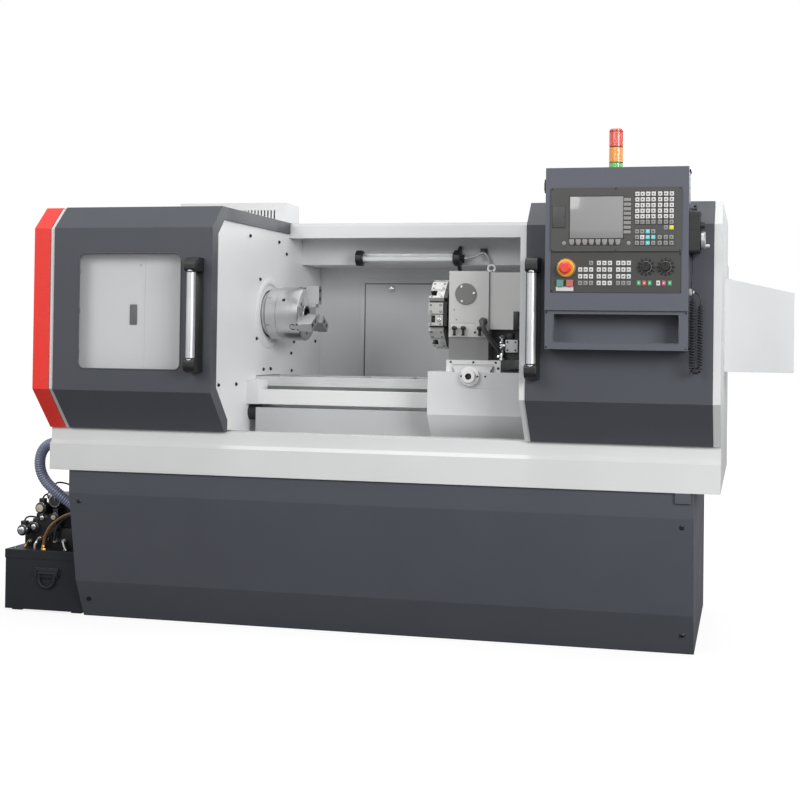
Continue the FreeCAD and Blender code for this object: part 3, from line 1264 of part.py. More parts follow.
def make_tailstock():
    left, right = at.tail_left, at.tail_left + at.tail_length
    under = at.bed_top + at.slide_gap
    y, z = at.axis_depth, axis_height
    base_top = under + at.tail_base
    base = block(left + 10, right - 10, at.bed_front, at.bed_back, under, base_top)
    waist, spread = at.tail_waist / 2, 14
    column = prism("X", left + 20, right - 20, [
        (y - waist - spread, base_top), (y + waist + spread, base_top), (y + waist, z), (y - waist, z)])
    barrel = rod("X", left, y, z, at.tail_barrel, at.tail_length)
    bore = rod("X", left - 1, y, z, at.quill_radius + 0.05, at.tail_length + 2)
    lever = fuse(rod("Y", left + 60, y - at.tail_barrel - 20, z, 10, 30),
                 rod("Z", left + 60, y - at.tail_barrel - 16, z - 6, 7, 80))
    lever_way = rod("X", left - 1, y, z, at.quill_radius + 1, at.tail_length + 2)
    finish("tailstock", cut(fuse(base, column, barrel, cut(lever, lever_way)), bore))
    start = left - at.quill_reach
    tip = start - at.centre_length
    shaft = 12
    finish("tailstock_quill", turned("X", (y, z), [
        (tip, 0), (start, 20), (start, at.quill_radius), (right - 20, at.quill_radius),
        (right - 20, shaft), (start + 40, shaft), (start + 40, 0)]))
    wheel_left = right + 26
    rim = turned("X", (y, z), [
        (wheel_left, at.wheel_radius - at.wheel_width), (wheel_left, at.wheel_radius),
        (wheel_left + at.wheel_width, at.wheel_radius),
        (wheel_left + at.wheel_width, at.wheel_radius - at.wheel_width)])
    hub = rod("X", right + 2, y, z, 22, 50)
    spindle = rod("X", start + 80, y, z, shaft - 0.3, right - start - 78)
    spokes = []
    for angle in (0, 120, 240):
        spoke = block(wheel_left + 4, wheel_left + 14, y - 8, y + 8, z + 16, z + at.wheel_radius - 10)
        spokes.append(turn_about_spindle(spoke, angle, y, z))
    grip = rod("X", wheel_left + 8, y, z - at.wheel_radius + 9, 8, 60)
    finish("tailstock_handwheel", fuse(rim, hub, spindle, grip, *spokes))


# ---------------------------------------------------------------- lamp, cabinet, tank

def make_lamp():
    y, z = lamp_depth, at.lamp_height
    left, right = at.lamp_left, at.lamp_left + at.lamp_length
    tube = rod("X", left + at.lamp_cap_width, y, z, at.lamp_radius, at.lamp_length - at.lamp_cap_width * 2)
    caps = []
    for start in (left, right - at.lamp_cap_width):
        cap = rod("X", start, y, z, at.lamp_cap_radius, at.lamp_cap_width)
        arm = block(start + 4, start + at.lamp_cap_width - 4, y, at.header_front, z - 10, z + 10)
        caps.append(fuse(cap, arm))
    finish("work_lamp", group(tube, *caps))


def make_cabinet():
    wall = at.cover_wall
    shell = cut(block(at.cabinet_left, cabinet_right, rear_face, cabinet_back,
                      at.cabinet_low, at.cabinet_high),
                block(at.cabinet_left + wall, cabinet_right - wall, rear_face + wall, cabinet_back + 1,
                      at.cabinet_low + wall, at.cabinet_high - wall))
    slots = []
    for index in range(int(at.louvres)):
        right = cabinet_right - at.louvre_right - at.louvre_pitch * index
        slots.append(block(right - at.louvre_width, right, rear_face - 1, rear_face + wall + 1,
                           at.louvre_low, at.louvre_high))
    skin = 2
    door_front = cabinet_back + at.slide_gap
    hinge_x, hinge_y = cabinet_right + 5.5, door_front + skin / 2
    heights = (at.cabinet_low + 120, at.cabinet_high - 170)
    barrels = knuckles(hinge_x, hinge_y, heights, (cabinet_right - 1, hinge_x), cabinet_back - 2, False)
    lugs = cut(fuse(*barrels), block(at.cabinet_left, cabinet_right + 0.3, cabinet_back, door_front + 20,
                                     at.cabinet_low, at.cabinet_high))
    finish("electrical_cabinet", fuse(cut(shell, *slots), lugs))
    leaf = block(at.cabinet_left, cabinet_right, door_front, door_front + skin,
                 at.cabinet_low, at.cabinet_high)
    rim = cut(block(at.cabinet_left + 20, cabinet_right - 20, door_front + skin, door_front + skin + 10,
                    at.cabinet_low + 20, at.cabinet_high - 20),
              block(at.cabinet_left + 36, cabinet_right - 36, door_front, door_front + skin + 11,
                    at.cabinet_low + 36, at.cabinet_high - 36))
    knob = rod("Y", at.cabinet_left + 60, door_front + skin, (at.cabinet_low + at.cabinet_high) / 2, 14, 14)
    barrels = knuckles(hinge_x, hinge_y, heights, (cabinet_right - 6, hinge_x), door_front + skin, True)
    finish("cabinet_door", fuse(leaf, rim, knob, *barrels))


def make_tank():
    wall = at.tank_wall
    left, right, front, back = at.tank_left, tank_right, at.tank_front, tank_back
    rim = at.tank_high - at.tank_lip
    body = cut(block(left + 2, right - 2, front + 2, back - 2, at.tank_low, at.tank_high - wall),
               block(left + 2 + wall, right - 2 - wall, front + 2 + wall, back - 2 - wall,
                     at.tank_low + wall, at.tank_high))
    lid = cut(block(left, right, front, back, rim, at.tank_high),
              block(left + 2, right - 2, front + 2, back - 2, rim - 1, at.tank_high - wall))
    lugs = []
    for side in (-1, 1):
        x = left + at.bail_side + side * (at.bail_width / 2 + at.bail_wire + 1)
        lugs.append(cut(block(x - 5, x + 5, front - 16, front + 4, at.bail_high - 9, at.bail_high + 9),
                        rod("X", x - 6, front - 8, at.bail_high, at.bail_wire + 0.05, 12)))
    feet = [block(x, x + 40, y, y + 40, 0, at.tank_low) for x in (left + 20, right - 60)
            for y in (front + 20, back - 60)]
    finish("coolant_tank", fuse(body, lid, *lugs, *feet))
    wire = at.bail_wire
    half = at.bail_width / 2
    middle = left + at.bail_side
    y = front - 8
    arch = half - wire
    bow = doc.addObject("Part::Torus", "Bow")
    bound(bow, "Radius1", arch)
    bound(bow, "Radius2", wire)
    bow.Angle3 = 180
    bow.Placement = Placement(Vector(), Rotation(Vector(1, 0, 0), -90))
    place(bow, middle, y, at.bail_high - at.bail_drop + arch)
    legs = [rod("Z", middle + side * arch, y, at.bail_high - at.bail_drop + arch, wire, at.bail_drop - arch)
            for side in (-1, 1)]
    bar = rod("X", middle - half - 8, y, at.bail_high, wire, at.bail_width + 16)
    finish("tank_handle", fuse(bow, bar, *legs))


VALVE_COILS = [
    # from the tank's left side, above the lid, radius, reach towards the front
    (53, 67, 20, 70), (88, 78, 17, 46), (124, 152, 21, 66), (118, 112, 15, 40), (172, 118, 16, 52),
    (150, 196, 18, 30)]


def make_hydraulics():
    """The pump motor, manifold, solenoid valves and gauge on the tank lid."""
    top = at.tank_high
    front = at.tank_front
    motor_x, motor_y = tank_right - 92, tank_back - 180
    foot_radius, shell_radius = 62, 70
    motor = turned("Z", (motor_x, motor_y), [
        (top, 0), (top, foot_radius), (top + 26, foot_radius), (top + 26, shell_radius),
        (top + 200, shell_radius), (top + 214, shell_radius - 12), (top + 214, 0)])
    column = block(at.tank_left + 172, at.tank_left + 266, front + 30, front + 130, top, top + 80)
    manifold = block(at.tank_left + 90, at.tank_left + 172, front + 60, front + 200, top, top + 130)
    bridge = block(at.tank_left + 120, at.tank_left + 250, front + 90, front + 190, top + 60, top + 196)
    valve_face = front + 92
    coils = [rod("Y", at.tank_left + x, valve_face - reach, top + z, radius, reach + 20)
             for x, z, radius, reach in VALVE_COILS]
    gauge = rod("Y", at.tank_left + 172, front + 60, top + 178, 24, 40)
    foot = block(at.tank_left + 30, at.tank_left + 92, front + 70, front + 160, top, top + 95)
    finish("hydraulic_unit", group(motor, fuse(column, manifold, bridge, foot, gauge, *coils)))


def route_edges(points, label):
    """Straight runs joined by tangent arcs, each as large as its two runs allow."""
    corners = [Vector(*point) for point in points]
    edges, radii = [], []
    start = corners[0]
    for before, corner, after in zip(corners, corners[1:], corners[2:]):
        back, ahead = before - corner, after - corner
        turn = math.pi - back.getAngle(ahead)
        if turn < 1e-4:
            continue
        reach = 0.45 * min(back.Length, ahead.Length)
        bend = reach / math.tan(turn / 2)
        radii.append(bend)
        back.normalize()
        ahead.normalize()
        enter, leave = corner + back * reach, corner + ahead * reach
        inward = (back + ahead).normalize()
        middle = corner + inward * (bend / math.cos(turn / 2) - bend)
        edges.append(Part.LineSegment(start, enter).toShape())
        edges.append(Part.Arc(enter, middle, leave).toShape())
        start = leave
    edges.append(Part.LineSegment(start, corners[-1]).toShape())
    if radii:
        print(f"{label}: least radius {min(radii):.1f}")
    return edges


def swept(edges, radius, label):
    """One unbroken round tube along edges."""
    path = Part.Wire(edges)
    first = edges[0]
    start, heading = first.valueAt(first.FirstParameter), first.tangentAt(first.FirstParameter)
    section = Part.Wire(Part.Circle(start, heading, float(radius)).toShape())
    solid = path.makePipeShell([section], True, False)
    share = solid.Volume / (math.pi * float(radius) ** 2 * path.Length)
    print(f"{label}: length {path.Length:.1f}, volume {share:.4f} of its section times its length")
    return solid


def keep(label, shape):
    """A finished sub-part that holds a shape of its own."""
    made = doc.addObject("Part::Feature", "Form")
    made.Shape = shape
    return finish(label, made)


def place_along(edges, distance):
    """The point and the heading at a distance along edges."""
    for edge in edges:
        if distance <= edge.Length or edge is edges[-1]:
            spot = edge.getParameterByLength(min(distance, edge.Length))
            return edge.valueAt(spot), edge.tangentAt(spot)
        distance -= edge.Length


def ribbed_hose(points, outer, bore, rib_pitch, label):
    """A hose with a bore and round ribs: a ruled loft through four circles for each rib."""
    edges = route_edges(points, label)
    length = sum(edge.Length for edge in edges)
    ribs = round(length / float(rib_pitch))
    valley = outer - at.rib_height
    circles = []
    for rib in range(ribs):
        for share, radius in ((0, valley), (0.25, outer), (0.55, outer), (0.8, valley)):
            spot, heading = place_along(edges, length * (rib + share) / ribs)
            across = Vector(0, 1, 0)
            across = (across - heading * across.dot(heading)).normalize()
            circle = Part.Wire(Part.makeCircle(float(radius)))
            circle.Placement = Placement(spot, Rotation(across, heading.cross(across), heading, "ZXY"))
            circles.append(circle)
    print(f"{label}: {ribs} ribs, length {length:.1f}")
    skin = Part.makeLoft(circles, True, True)
    return keep(label, skin.cut(swept(edges, bore, label + " bore")))


def make_hoses():
    spout = at.casing_left - at.spout_reach
    y = at.tank_front
    seat = at.tank_high + at.slide_gap
    fall = spout_high - seat
    drain = [(spout + along, y + inwards, seat + fall * share) for along, inwards, share in (
        (-at.slide_gap, 0, 1), (-50, 0, 1), (-92, 4, 0.926), (-106, 8, 0.791), (-92, 14, 0.657),
        (-52, 24, 0.548), (-8, 40, 0.454), (34, 60, 0.354), (54, 80, 0.23), (54, 84, 0.106), (54, 84, 0))]
    ribbed_hose(drain, at.drain_radius, at.drain_bore, at.rib_pitch, "drain_hose")
    oil_end = at.base_left - at.slide_gap
    oil = [(oil_end - back, y + 8, seat + rise) for back, rise in (
        (172, 0), (172, 35), (160, 69), (136, 99), (104, 123), (68, 139), (34, 146), (0, 146))]
    keep("oil_hose", swept(route_edges(oil, "oil_hose"), at.oil_radius, "oil_hose"))


def arc_leaving(start, heading, end):
    """The arc that leaves a point in a direction and ends at another point."""
    chord = end - start
    along = Vector(chord).normalize()
    side = heading - along * heading.dot(along)
    if side.Length < 1e-6:
        return Part.LineSegment(start, end).toShape()
    side.normalize()
    middle = (start + end) * 0.5 + side * (chord.Length / 2 * math.tan(heading.getAngle(chord) / 2))
    return Part.Arc(start, middle, end).toShape()


def biarc(start, heading, end, leaving):
    """Two arcs that meet smoothly between two points with given directions."""
    chord = end - start
    spread = 2 * (1 - heading.dot(leaving))
    pull = chord.dot(heading + leaving)
    square = chord.dot(chord)
    reach = (square / (2 * pull) if spread < 1e-9
             else (math.sqrt(pull * pull + spread * square) - pull) / spread)
    meeting = (start + end + (heading - leaving) * reach) * 0.5
    second = arc_leaving(end, -leaving, meeting)
    towards = Part.Arc(meeting, second.valueAt((second.FirstParameter + second.LastParameter) / 2), end)
    return [arc_leaving(start, heading, meeting), towards.toShape()]


class CurlyLoop:
    """A coiled cord that hangs in a narrow U: down one side, round, and up the other."""

    def __init__(self, start, across, down, up, curl, turns):
        self.start, self.across = start, Vector(across)
        self.bend = self.across.Length / 2
        self.across.normalize()
        self.normal = self.across.cross(Vector(0, 0, 1))
        self.down, self.curl, self.turns = float(down), float(curl), turns
        self.length = self.down + math.pi * self.bend + float(up)

    def centre(self, distance):
        """The middle of the coil and its heading."""
        low = self.start - Vector(0, 0, self.down)
        angle = min(max((distance - self.down) / self.bend, 0), math.pi)
        beyond = distance - self.down - angle * self.bend
        rise = Vector(0, 0, beyond if angle else -beyond)
        swing = self.across * (self.bend * (1 - math.cos(angle))) - Vector(0, 0, self.bend * math.sin(angle))
        return low + swing + rise, self.across * math.sin(angle) - Vector(0, 0, math.cos(angle))

    def point(self, distance):
        """A point of the wire: the coil opens out at its start and closes at its end."""
        middle, heading = self.centre(distance)
        ramp = self.length / self.turns * 1.5
        share = min(1, max(0, min(distance, self.length - distance)) / ramp)
        radius = self.curl * (1 - math.cos(math.pi * share)) / 2
        turn = 2 * math.pi * self.turns * distance / self.length
        return middle + (self.normal * math.cos(turn) + heading.cross(self.normal) * math.sin(turn)) * radius

    def heading(self, distance):
        """The direction of the wire."""
        if not 0 < distance < self.length:
            return self.centre(distance)[1]
        step = 0.01
        return (self.point(distance + step) - self.point(distance - step)).normalize()

    def edges(self, steps):
        """The wire as biarcs, some to each turn."""
        count = self.turns * steps
        marks = [self.length * index / count for index in range(count + 1)]
        found = []
        for low, high in zip(marks, marks[1:]):
            found += biarc(self.point(low), self.heading(low), self.point(high), self.heading(high))
        return found

    def least_gap(self, wire):
        """The least clear distance between one turn and the next, measured on points."""
        count = 24 * self.turns
        points = [self.point(self.length * index / count) for index in range(count + 1)]
        pairs = ((index, other) for index in range(count)
                 for other in range(index + 14, min(index + 60, count)))
        return min(points[index].distanceToPoint(points[other]) for index, other in pairs) - 2 * wire


# ---------------------------------------------------------------- controls

def make_control_box():
    back = at.guard_front
    upper = block(at.box_left, box_right, box_front, back, at.box_split, at.box_high)
    lower = block(at.box_left, box_right, box_front + 8, back, at.box_low, at.box_split)
    recess = slab("Y", box_front - 1, back - at.box_wall * 4, at.box_left + at.shelf_side,
                  box_right - at.shelf_side, at.shelf_low, at.shelf_high, at.box_wall * 2)
    gland = rod("X", box_right, at.gland_depth, gland_high, at.gland_radius, at.gland_reach)
    middle = at.pendant_front + at.pendant_width / 2
    hook_right, hook_low, strip = box_right + 24, pendant_high + 8, 4
    hook = fuse(block(box_right, hook_right, middle - 10, middle + 10, hook_low, hook_low + strip),
                block(hook_right - strip, hook_right, middle - 10, middle + 10, hook_low, hook_low + 18))
    stop_hole = rod("Y", at.box_left + at.stop_side, box_front - 6, at.stop_high, 11, 35)
    halves = at.button_size / 2 + at.slide_gap
    holes = [block(at.box_left + side - halves, at.box_left + side + halves, box_front - 1, box_front + 14,
                   at.button_high - halves, at.button_high + halves)
             for side in (at.start_side, at.halt_side)]
    collar = rod("Y", at.box_left + at.stop_side, box_front - 5, at.stop_high, at.stop_collar, 6)
    pins = [rod("Y", at.box_left + side, box_front - 1, at.knob_high, 4, 12)
            for side in (at.feed_side, at.speed_side)]
    finish("control_box", cut(fuse(cut(upper, *holes), lower, gland, hook, collar), recess, stop_hole, *pins))

    screen = slab("Y", display_front - 1, display_front + 2, display_left + at.screen_left,
                  display_left + at.screen_left + at.screen_width, at.screen_low, at.screen_high, at.box_wall)
    bezel = slab("Y", display_front, box_front, display_left, display_right, at.display_low, at.display_high,
                 at.box_wall)
    finish("display_unit", cut(bezel, screen))


def key(x, z, width, height, front):
    """One raised key on a panel face."""
    return block(x - width / 2, x + width / 2, front - at.key_proud, front, z - height / 2, z + height / 2)


LETTER_COLUMNS = (284.8, 300.9, 317.4, 334.2)
NUMBER_COLUMNS = (354, 372.2, 389.3)
DISPLAY_KEYS = [
    # columns from the box's left side, first row below the display unit's head, rows
    (LETTER_COLUMNS + NUMBER_COLUMNS, 21, 6),
    (NUMBER_COLUMNS[1:], 124.3, 1),
    (LETTER_COLUMNS, 136, 3),
    (NUMBER_COLUMNS, 153.4, 2)]
MACHINE_KEYS = [
    # columns from the box's left side, first row above the knobs' axes, rows
    ((144.3,), 11.6, 1),
    ((168.3, 185.2, 202.4, 228, 243.9, 260.4), 11.6, 1),
    ((110.7, 127.5, 144.3, 168.3, 185.2, 202.4, 228, 243.9, 260.4), -9, 3)]
COLOURED_KEYS = (291.3, 307.9, 324.4, 350.4, 367.2, 385.3)


def make_keys():
    """The keys of the display unit and of the machine panel, as separate caps."""
    keys = []
    left, size = at.box_left, at.key_size
    for columns, drop, rows in DISPLAY_KEYS:
        for row in range(rows):
            z = at.display_high - drop - at.key_pitch * row
            keys += [key(left + x, z, size, size, display_front) for x in columns]
    screen_left = display_left + at.screen_left
    screen_right = screen_left + at.screen_width
    for index in range(int(at.soft_keys)):
        across, down = at.soft_key_across * index, at.soft_key_down * index
        keys.append(key(screen_left + 6.8 + across, at.screen_low - 12, 15, 17, display_front))
        keys.append(key(screen_right + 11.4, at.screen_high - 11.3 - down, 22, 10, display_front))
    for columns, rise, rows in MACHINE_KEYS:
        for row in range(rows):
            z = at.knob_high + rise - at.machine_key_pitch * row
            keys += [key(left + x, z, size, size, box_front) for x in columns]
    for x in COLOURED_KEYS:
        keys.append(key(left + x, at.button_high + 1.4, size - 1, size + 2, box_front))
    finish("panel_keys", group(*keys))


def make_buttons():
    left = at.box_left
    x, z = left + at.stop_side, at.stop_high
    back = box_front - 5 - 0.3
    finish("stop_mushroom", turned("Y", (x, z), [
        (back - 23, 0), (back - 23, at.stop_radius * 0.7), (back - 18, at.stop_radius),
        (back - 9, at.stop_radius), (back - 7, 10.7), (box_front + 20, 10.7), (box_front + 20, 0)]))
    half = at.button_size / 2
    for label, side in (("start_button", at.start_side), ("halt_button", at.halt_side)):
        finish(label, block(left + side - half, left + side + half, box_front - 8, box_front + 9,
                            at.button_high - half, at.button_high + half))
    for label, side in (("feed_knob", at.feed_side), ("speed_knob", at.speed_side)):
        front = box_front - at.slide_gap
        knob = turned("Y", (left + side, at.knob_high), [
            (front - 18, 0), (front - 18, at.knob_radius - 3), (front - 15, at.knob_radius - 1.5),
            (front - 3, at.knob_radius), (front, at.knob_radius), (front, 3.7), (front + 9, 3.7),
            (front + 9, 0)])
        pointer = block(left + side - 1.5, left + side + 1.5, front - 20, front - 17, at.knob_high,
                        at.knob_high + at.knob_radius - 3)
        finish(label, fuse(knob, pointer))


def make_tower():
    x, y = at.tower_side, at.tower_depth
    foot = turned("Z", (x, y), [
        (at.roof_high, 0), (at.roof_high, at.tower_radius + 8), (at.roof_high + 8, at.tower_radius + 8),
        (at.roof_high + 8, at.tower_radius - 2), (at.tower_foot, at.tower_radius - 2), (at.tower_foot, 0)])
    lenses = [rod("Z", x, y, at.tower_foot + at.lens_high * index, at.tower_radius, at.lens_high - 1)
              for index in range(3)]
    seams = [rod("Z", x, y, at.tower_foot + at.lens_high * (index + 1) - 1, at.tower_radius - 2, 1)
             for index in range(3)]
    top = at.tower_foot + at.lens_high * 3
    cap = turned("Z", (x, y), [(top, 0), (top, at.tower_radius), (top + at.tower_cap - 3, at.tower_radius),
                               (top + at.tower_cap, at.tower_radius - 5), (top + at.tower_cap, 0)])
    finish("signal_tower", group(foot, *lenses, *seams, cap))


def make_pendant():
    left = box_right + at.slide_gap
    right = left + at.pendant_thick
    back = at.pendant_front + at.pendant_width
    middle = at.pendant_front + at.pendant_width / 2
    body = slab("X", left, right, at.pendant_front, back, pendant_low, pendant_high, 9)
    face = rod("X", right - 1, middle, dial_high, at.dial_radius + 5, 4)
    dial_hole = rod("X", right - 12, middle, dial_high, 6, 20)
    knob_hole = rod("X", right - 12, middle, selector_high, 4, 20)
    loop = block(left + 6, right - 16, middle - 8, middle + 8, pendant_high, pendant_high + 7.7)
    finish("pendant_body", cut(fuse(body, face, loop), dial_hole, knob_hole))
    start = right + 3 + at.slide_gap
    dial = turned("X", (middle, dial_high), [
        (start - 13, 0), (start - 13, 5.7), (start, 5.7), (start, at.dial_radius),
        (start + 8, at.dial_radius), (start + 10, at.dial_radius - 3), (start + 10, 0)])
    crank = rod("X", start + 9, middle, dial_high - at.dial_radius + 9, 5, 16)
    finish("pendant_dial", fuse(dial, crank))
    start = right + at.slide_gap
    selector = turned("X", (middle, selector_high), [
        (start - 12, 0), (start - 12, 3.7), (start, 3.7), (start, at.selector_radius),
        (start + 13, at.selector_radius - 2), (start + 13, 0)])
    finish("pendant_selector", selector)
    make_pendant_cord(left + at.cord_side, middle)


def make_pendant_cord(x, y):
    """A straight lead from the pendant, a coiled loop, and a short lead into the gland."""
    gland_x = box_right + at.gland_reach
    far_x, far_y = x + 24, at.gland_depth
    coil_high, coil_low = Vector(x, y, coil_start), coil_foot
    loop = CurlyLoop(coil_high, (far_x - x, far_y - y, 0), coil_start - coil_low,
                     coil_end - coil_low, at.cord_radius - at.cord_wire, int(at.coil_turns))
    lead = [(x + aside, y, coil_start + at.coil_lead * share) for aside, share in (
        (0, 0.998), (0, 0.69), (-1.5, 0.44), (-1.5, 0.23), (0, 0.09), (0, 0))]
    tail = [(far_x, far_y, coil_end), (far_x, far_y, coil_end + 18), (far_x - 11, far_y, gland_high),
            (gland_x + at.slide_gap, far_y, gland_high)]
    edges = route_edges(lead, "pendant_cord lead") + loop.edges(2) + route_edges(tail, "pendant_cord tail")
    print(f"pendant_cord: least gap between turns {loop.least_gap(at.cord_wire):.2f}")
    keep("pendant_cord", swept(edges, at.cord_wire, "pendant_cord"))


# ---------------------------------------------------------------- the whole lathe

def build():
    make_base()
    make_tray()
    make_bed()
    make_end_panels()
    make_rear_wall()
    make_top_beam()
    make_bulkhead()
    make_bolts()
    make_headstock_cover()
    make_left_door()
    make_right_door()
    make_headstock()
    make_spindle()
    make_chuck()
    make_drive()
    make_feed_screw()
    make_saddle()
    make_cross_slide()
    make_turret()
    make_tailstock()
    make_lamp()
    make_cabinet()
    make_tank()
    make_hydraulics()
    make_hoses()
    make_control_box()
    make_keys()
    make_buttons()
    make_tower()
    make_pendant()


def write_parts():
    """Check every object, then write each sub-part to its own file."""
    failed = [made.Label for made in doc.Objects if {"Invalid", "Error"} & set(made.State)]
    bad = [made.Label for made in finished if made.Shape.isNull() or not made.Shape.isValid()]
    if failed or bad:
        raise SystemExit(f"failed: {failed}, not valid: {bad}")
    os.makedirs("parts", exist_ok=True)
    for made in finished:
        made.Shape.exportStep(os.path.join("parts", f"{made.Label}.step"))
        print(f"{made.Label}: {len(made.Shape.Solids)} solids, {made.Shape.Volume / 1e3:.0f} cm3")
    print(len(finished), "sub-parts")


build()
doc.recompute()
write_parts()
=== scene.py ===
import math

import bmesh
import bpy
from mathutils import Matrix, Vector


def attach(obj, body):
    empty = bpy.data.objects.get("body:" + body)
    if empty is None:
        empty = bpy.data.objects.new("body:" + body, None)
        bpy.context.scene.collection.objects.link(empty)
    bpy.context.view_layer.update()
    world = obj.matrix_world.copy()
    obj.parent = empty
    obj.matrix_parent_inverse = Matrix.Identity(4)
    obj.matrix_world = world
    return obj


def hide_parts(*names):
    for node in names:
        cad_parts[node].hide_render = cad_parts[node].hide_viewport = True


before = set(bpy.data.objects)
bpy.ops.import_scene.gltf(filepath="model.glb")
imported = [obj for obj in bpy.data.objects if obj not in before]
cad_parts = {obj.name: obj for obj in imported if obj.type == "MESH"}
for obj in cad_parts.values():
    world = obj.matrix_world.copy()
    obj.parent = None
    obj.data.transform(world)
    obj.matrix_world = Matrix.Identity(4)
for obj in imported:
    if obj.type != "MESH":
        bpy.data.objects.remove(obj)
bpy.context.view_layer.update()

# The places below are millimetres in the part's own frame: X along the spindle, Y away from
# the operator, Z up. Pieces are scaled to metres as they are made.
MM = 0.001


# ---------------------------------------------------------------- materials

def srgb(red, green, blue):
    """The linear colour of an 8 bit sRGB one."""
    def linear(level):
        share = level / 255
        return share / 12.92 if share <= 0.04045 else ((share + 0.055) / 1.055) ** 2.4
    return linear(red), linear(green), linear(blue), 1.0


class Finish:
    """A procedural material around one Principled shader."""

    def __init__(self, name, colour, rough=0.5, **sockets):
        self.material = bpy.data.materials.new(name)
        self.material.use_nodes = True
        self.nodes = self.material.node_tree.nodes
        self.links = self.material.node_tree.links
        self.shader = self.nodes["Principled BSDF"]
        self.colour = colour
        self.fill(self.shader, {"Base Color": colour, "Roughness": rough,
                                **{key.replace("_", " "): value for key, value in sockets.items()}})
        self.place = self.add("ShaderNodeTexCoord").outputs["Object"]
        self.normal = None

    def fill(self, node, inputs):
        for key, value in inputs.items():
            if isinstance(value, bpy.types.NodeSocket):
                self.links.new(value, node.inputs[key])
            else:
                node.inputs[key].default_value = value

    def add(self, kind, inputs=None, **settings):
        node = self.nodes.new(kind)
        for key, value in settings.items():
            setattr(node, key, value)
        self.fill(node, inputs or {})
        return node

    def math(self, operation, first, second=0.0):
        return self.add("ShaderNodeMath", {0: first, 1: second}, operation=operation).outputs[0]

    def noise(self, scale, detail=2.0, stretch=None, place=None):
        place = place or self.place
        if stretch:
            place = self.add("ShaderNodeVectorMath", {0: place, 1: stretch}, operation="MULTIPLY").outputs[0]
        return self.add("ShaderNodeTexNoise", {"Vector": place, "Scale": scale, "Detail": detail}).outputs["Fac"]

    def span(self, value, low, high, first=0.0, last=1.0):
        return self.add("ShaderNodeMapRange", {"Value": value, "From Min": low, "From Max": high,
                                               "To Min": first, "To Max": last}).outputs["Result"]

    def blend(self, share, first, second):
        node = self.add("ShaderNodeMix", {0: share, 6: first, 7: second}, data_type="RGBA")
        return node.outputs[2]

    def around(self, y, z):
        """Coordinates for marks left by turning about an axis along X: place along it, and radius."""
        parts = self.add("ShaderNodeSeparateXYZ", {0: self.place}).outputs
        off_y = self.math("SUBTRACT", parts[1], y * MM)
        off_z = self.math("SUBTRACT", parts[2], z * MM)
        square = self.math("ADD", self.math("MULTIPLY", off_y, off_y), self.math("MULTIPLY", off_z, off_z))
        radius = self.math("SQRT", square)
        return self.add("ShaderNodeCombineXYZ", {0: parts[0], 1: radius}).outputs[0]

    def inside(self, low, high):
        """1 inside a box given by two corners in millimetres, and 0 outside it."""
        parts = self.add("ShaderNodeSeparateXYZ", {0: self.place}).outputs
        share = None
        for axis in range(3):
            for operation, bound in (("GREATER_THAN", low[axis]), ("LESS_THAN", high[axis])):
                if bound is None:
                    continue
                test = self.math(operation, parts[axis], bound * MM)
                share = test if share is None else self.math("MULTIPLY", share, test)
        return share

    def soften(self, radius, wear=0.0, worn=None):
        """Catch light on sharp edges, and show the wear on them."""
        bevel = self.add("ShaderNodeBevel", {"Radius": radius * MM}, samples=5)
        self.normal = bevel.outputs[0]
        if wear:
            flat = self.add("ShaderNodeNewGeometry").outputs["Normal"]
            turn = self.add("ShaderNodeVectorMath", {0: self.normal, 1: flat}, operation="DOT_PRODUCT")
            edge = self.span(turn.outputs["Value"], 0.97, 0.8, 0.0, wear)
            broken = self.math("MULTIPLY", edge, self.span(self.noise(60, 3), 0.4, 0.6))
            self.tint(broken, worn)
        return self

    def tint(self, share, colour):
        """Lay another colour over the base, by a share."""
        self.colour = self.blend(share, self.colour, colour)
        self.fill(self.shader, {"Base Color": self.colour})
        return self

    def mottle(self, scale, amount, detail=3.0):
        """Slow unevenness of the colour."""
        share = self.span(self.noise(scale, detail), 0.35, 0.65, 0.0, amount)
        return self.tint(share, (0.0, 0.0, 0.0, 1.0))

    def bump(self, height, depth, strength=1.0):
        """Relief, its depth in millimetres."""
        inputs = {"Height": height, "Distance": depth * MM, "Strength": strength}
        if self.normal:
            inputs["Normal"] = self.normal
        self.normal = self.add("ShaderNodeBump", inputs).outputs[0]
        self.fill(self.shader, {"Normal": self.normal})
        return self

    def gloss(self, value, low, high):
        """Roughness that follows a texture."""
        self.fill(self.shader, {"Roughness": self.span(value, 0.3, 0.7, low, high)})
        return self

    def done(self):
        if self.normal:
            self.fill(self.shader, {"Normal": self.normal})
        return self.material


def paint(name, colour, rough=0.42, peel=0.05, extra=None):
    """Powder coat: fine orange peel, slow tone changes and a little wear on the edges."""
    made = Finish(name, colour, rough, Specular_IOR_Level=0.5 if max(colour[:3]) > 0.2 else 0.3)
    made.mottle(2.6, 0.045)
    if extra:
        extra(made)
    made.soften(1.6, 0.35, srgb(190, 190, 190))
    made.gloss(made.noise(9, 4), rough - 0.07, rough + 0.09)
    made.bump(made.noise(650, 2), peel)
    return made.done()


def cast(name, colour, rough=0.5):
    """Machine paint on a casting."""
    made = Finish(name, colour, rough, Coat_Weight=0.15, Coat_Roughness=0.3)
    made.mottle(5, 0.10)
    made.soften(2.5, 0.4, srgb(150, 150, 150))
    made.gloss(made.noise(20, 4), rough - 0.1, rough + 0.12)
    made.bump(made.noise(120, 5), 0.35)
    return made.done()


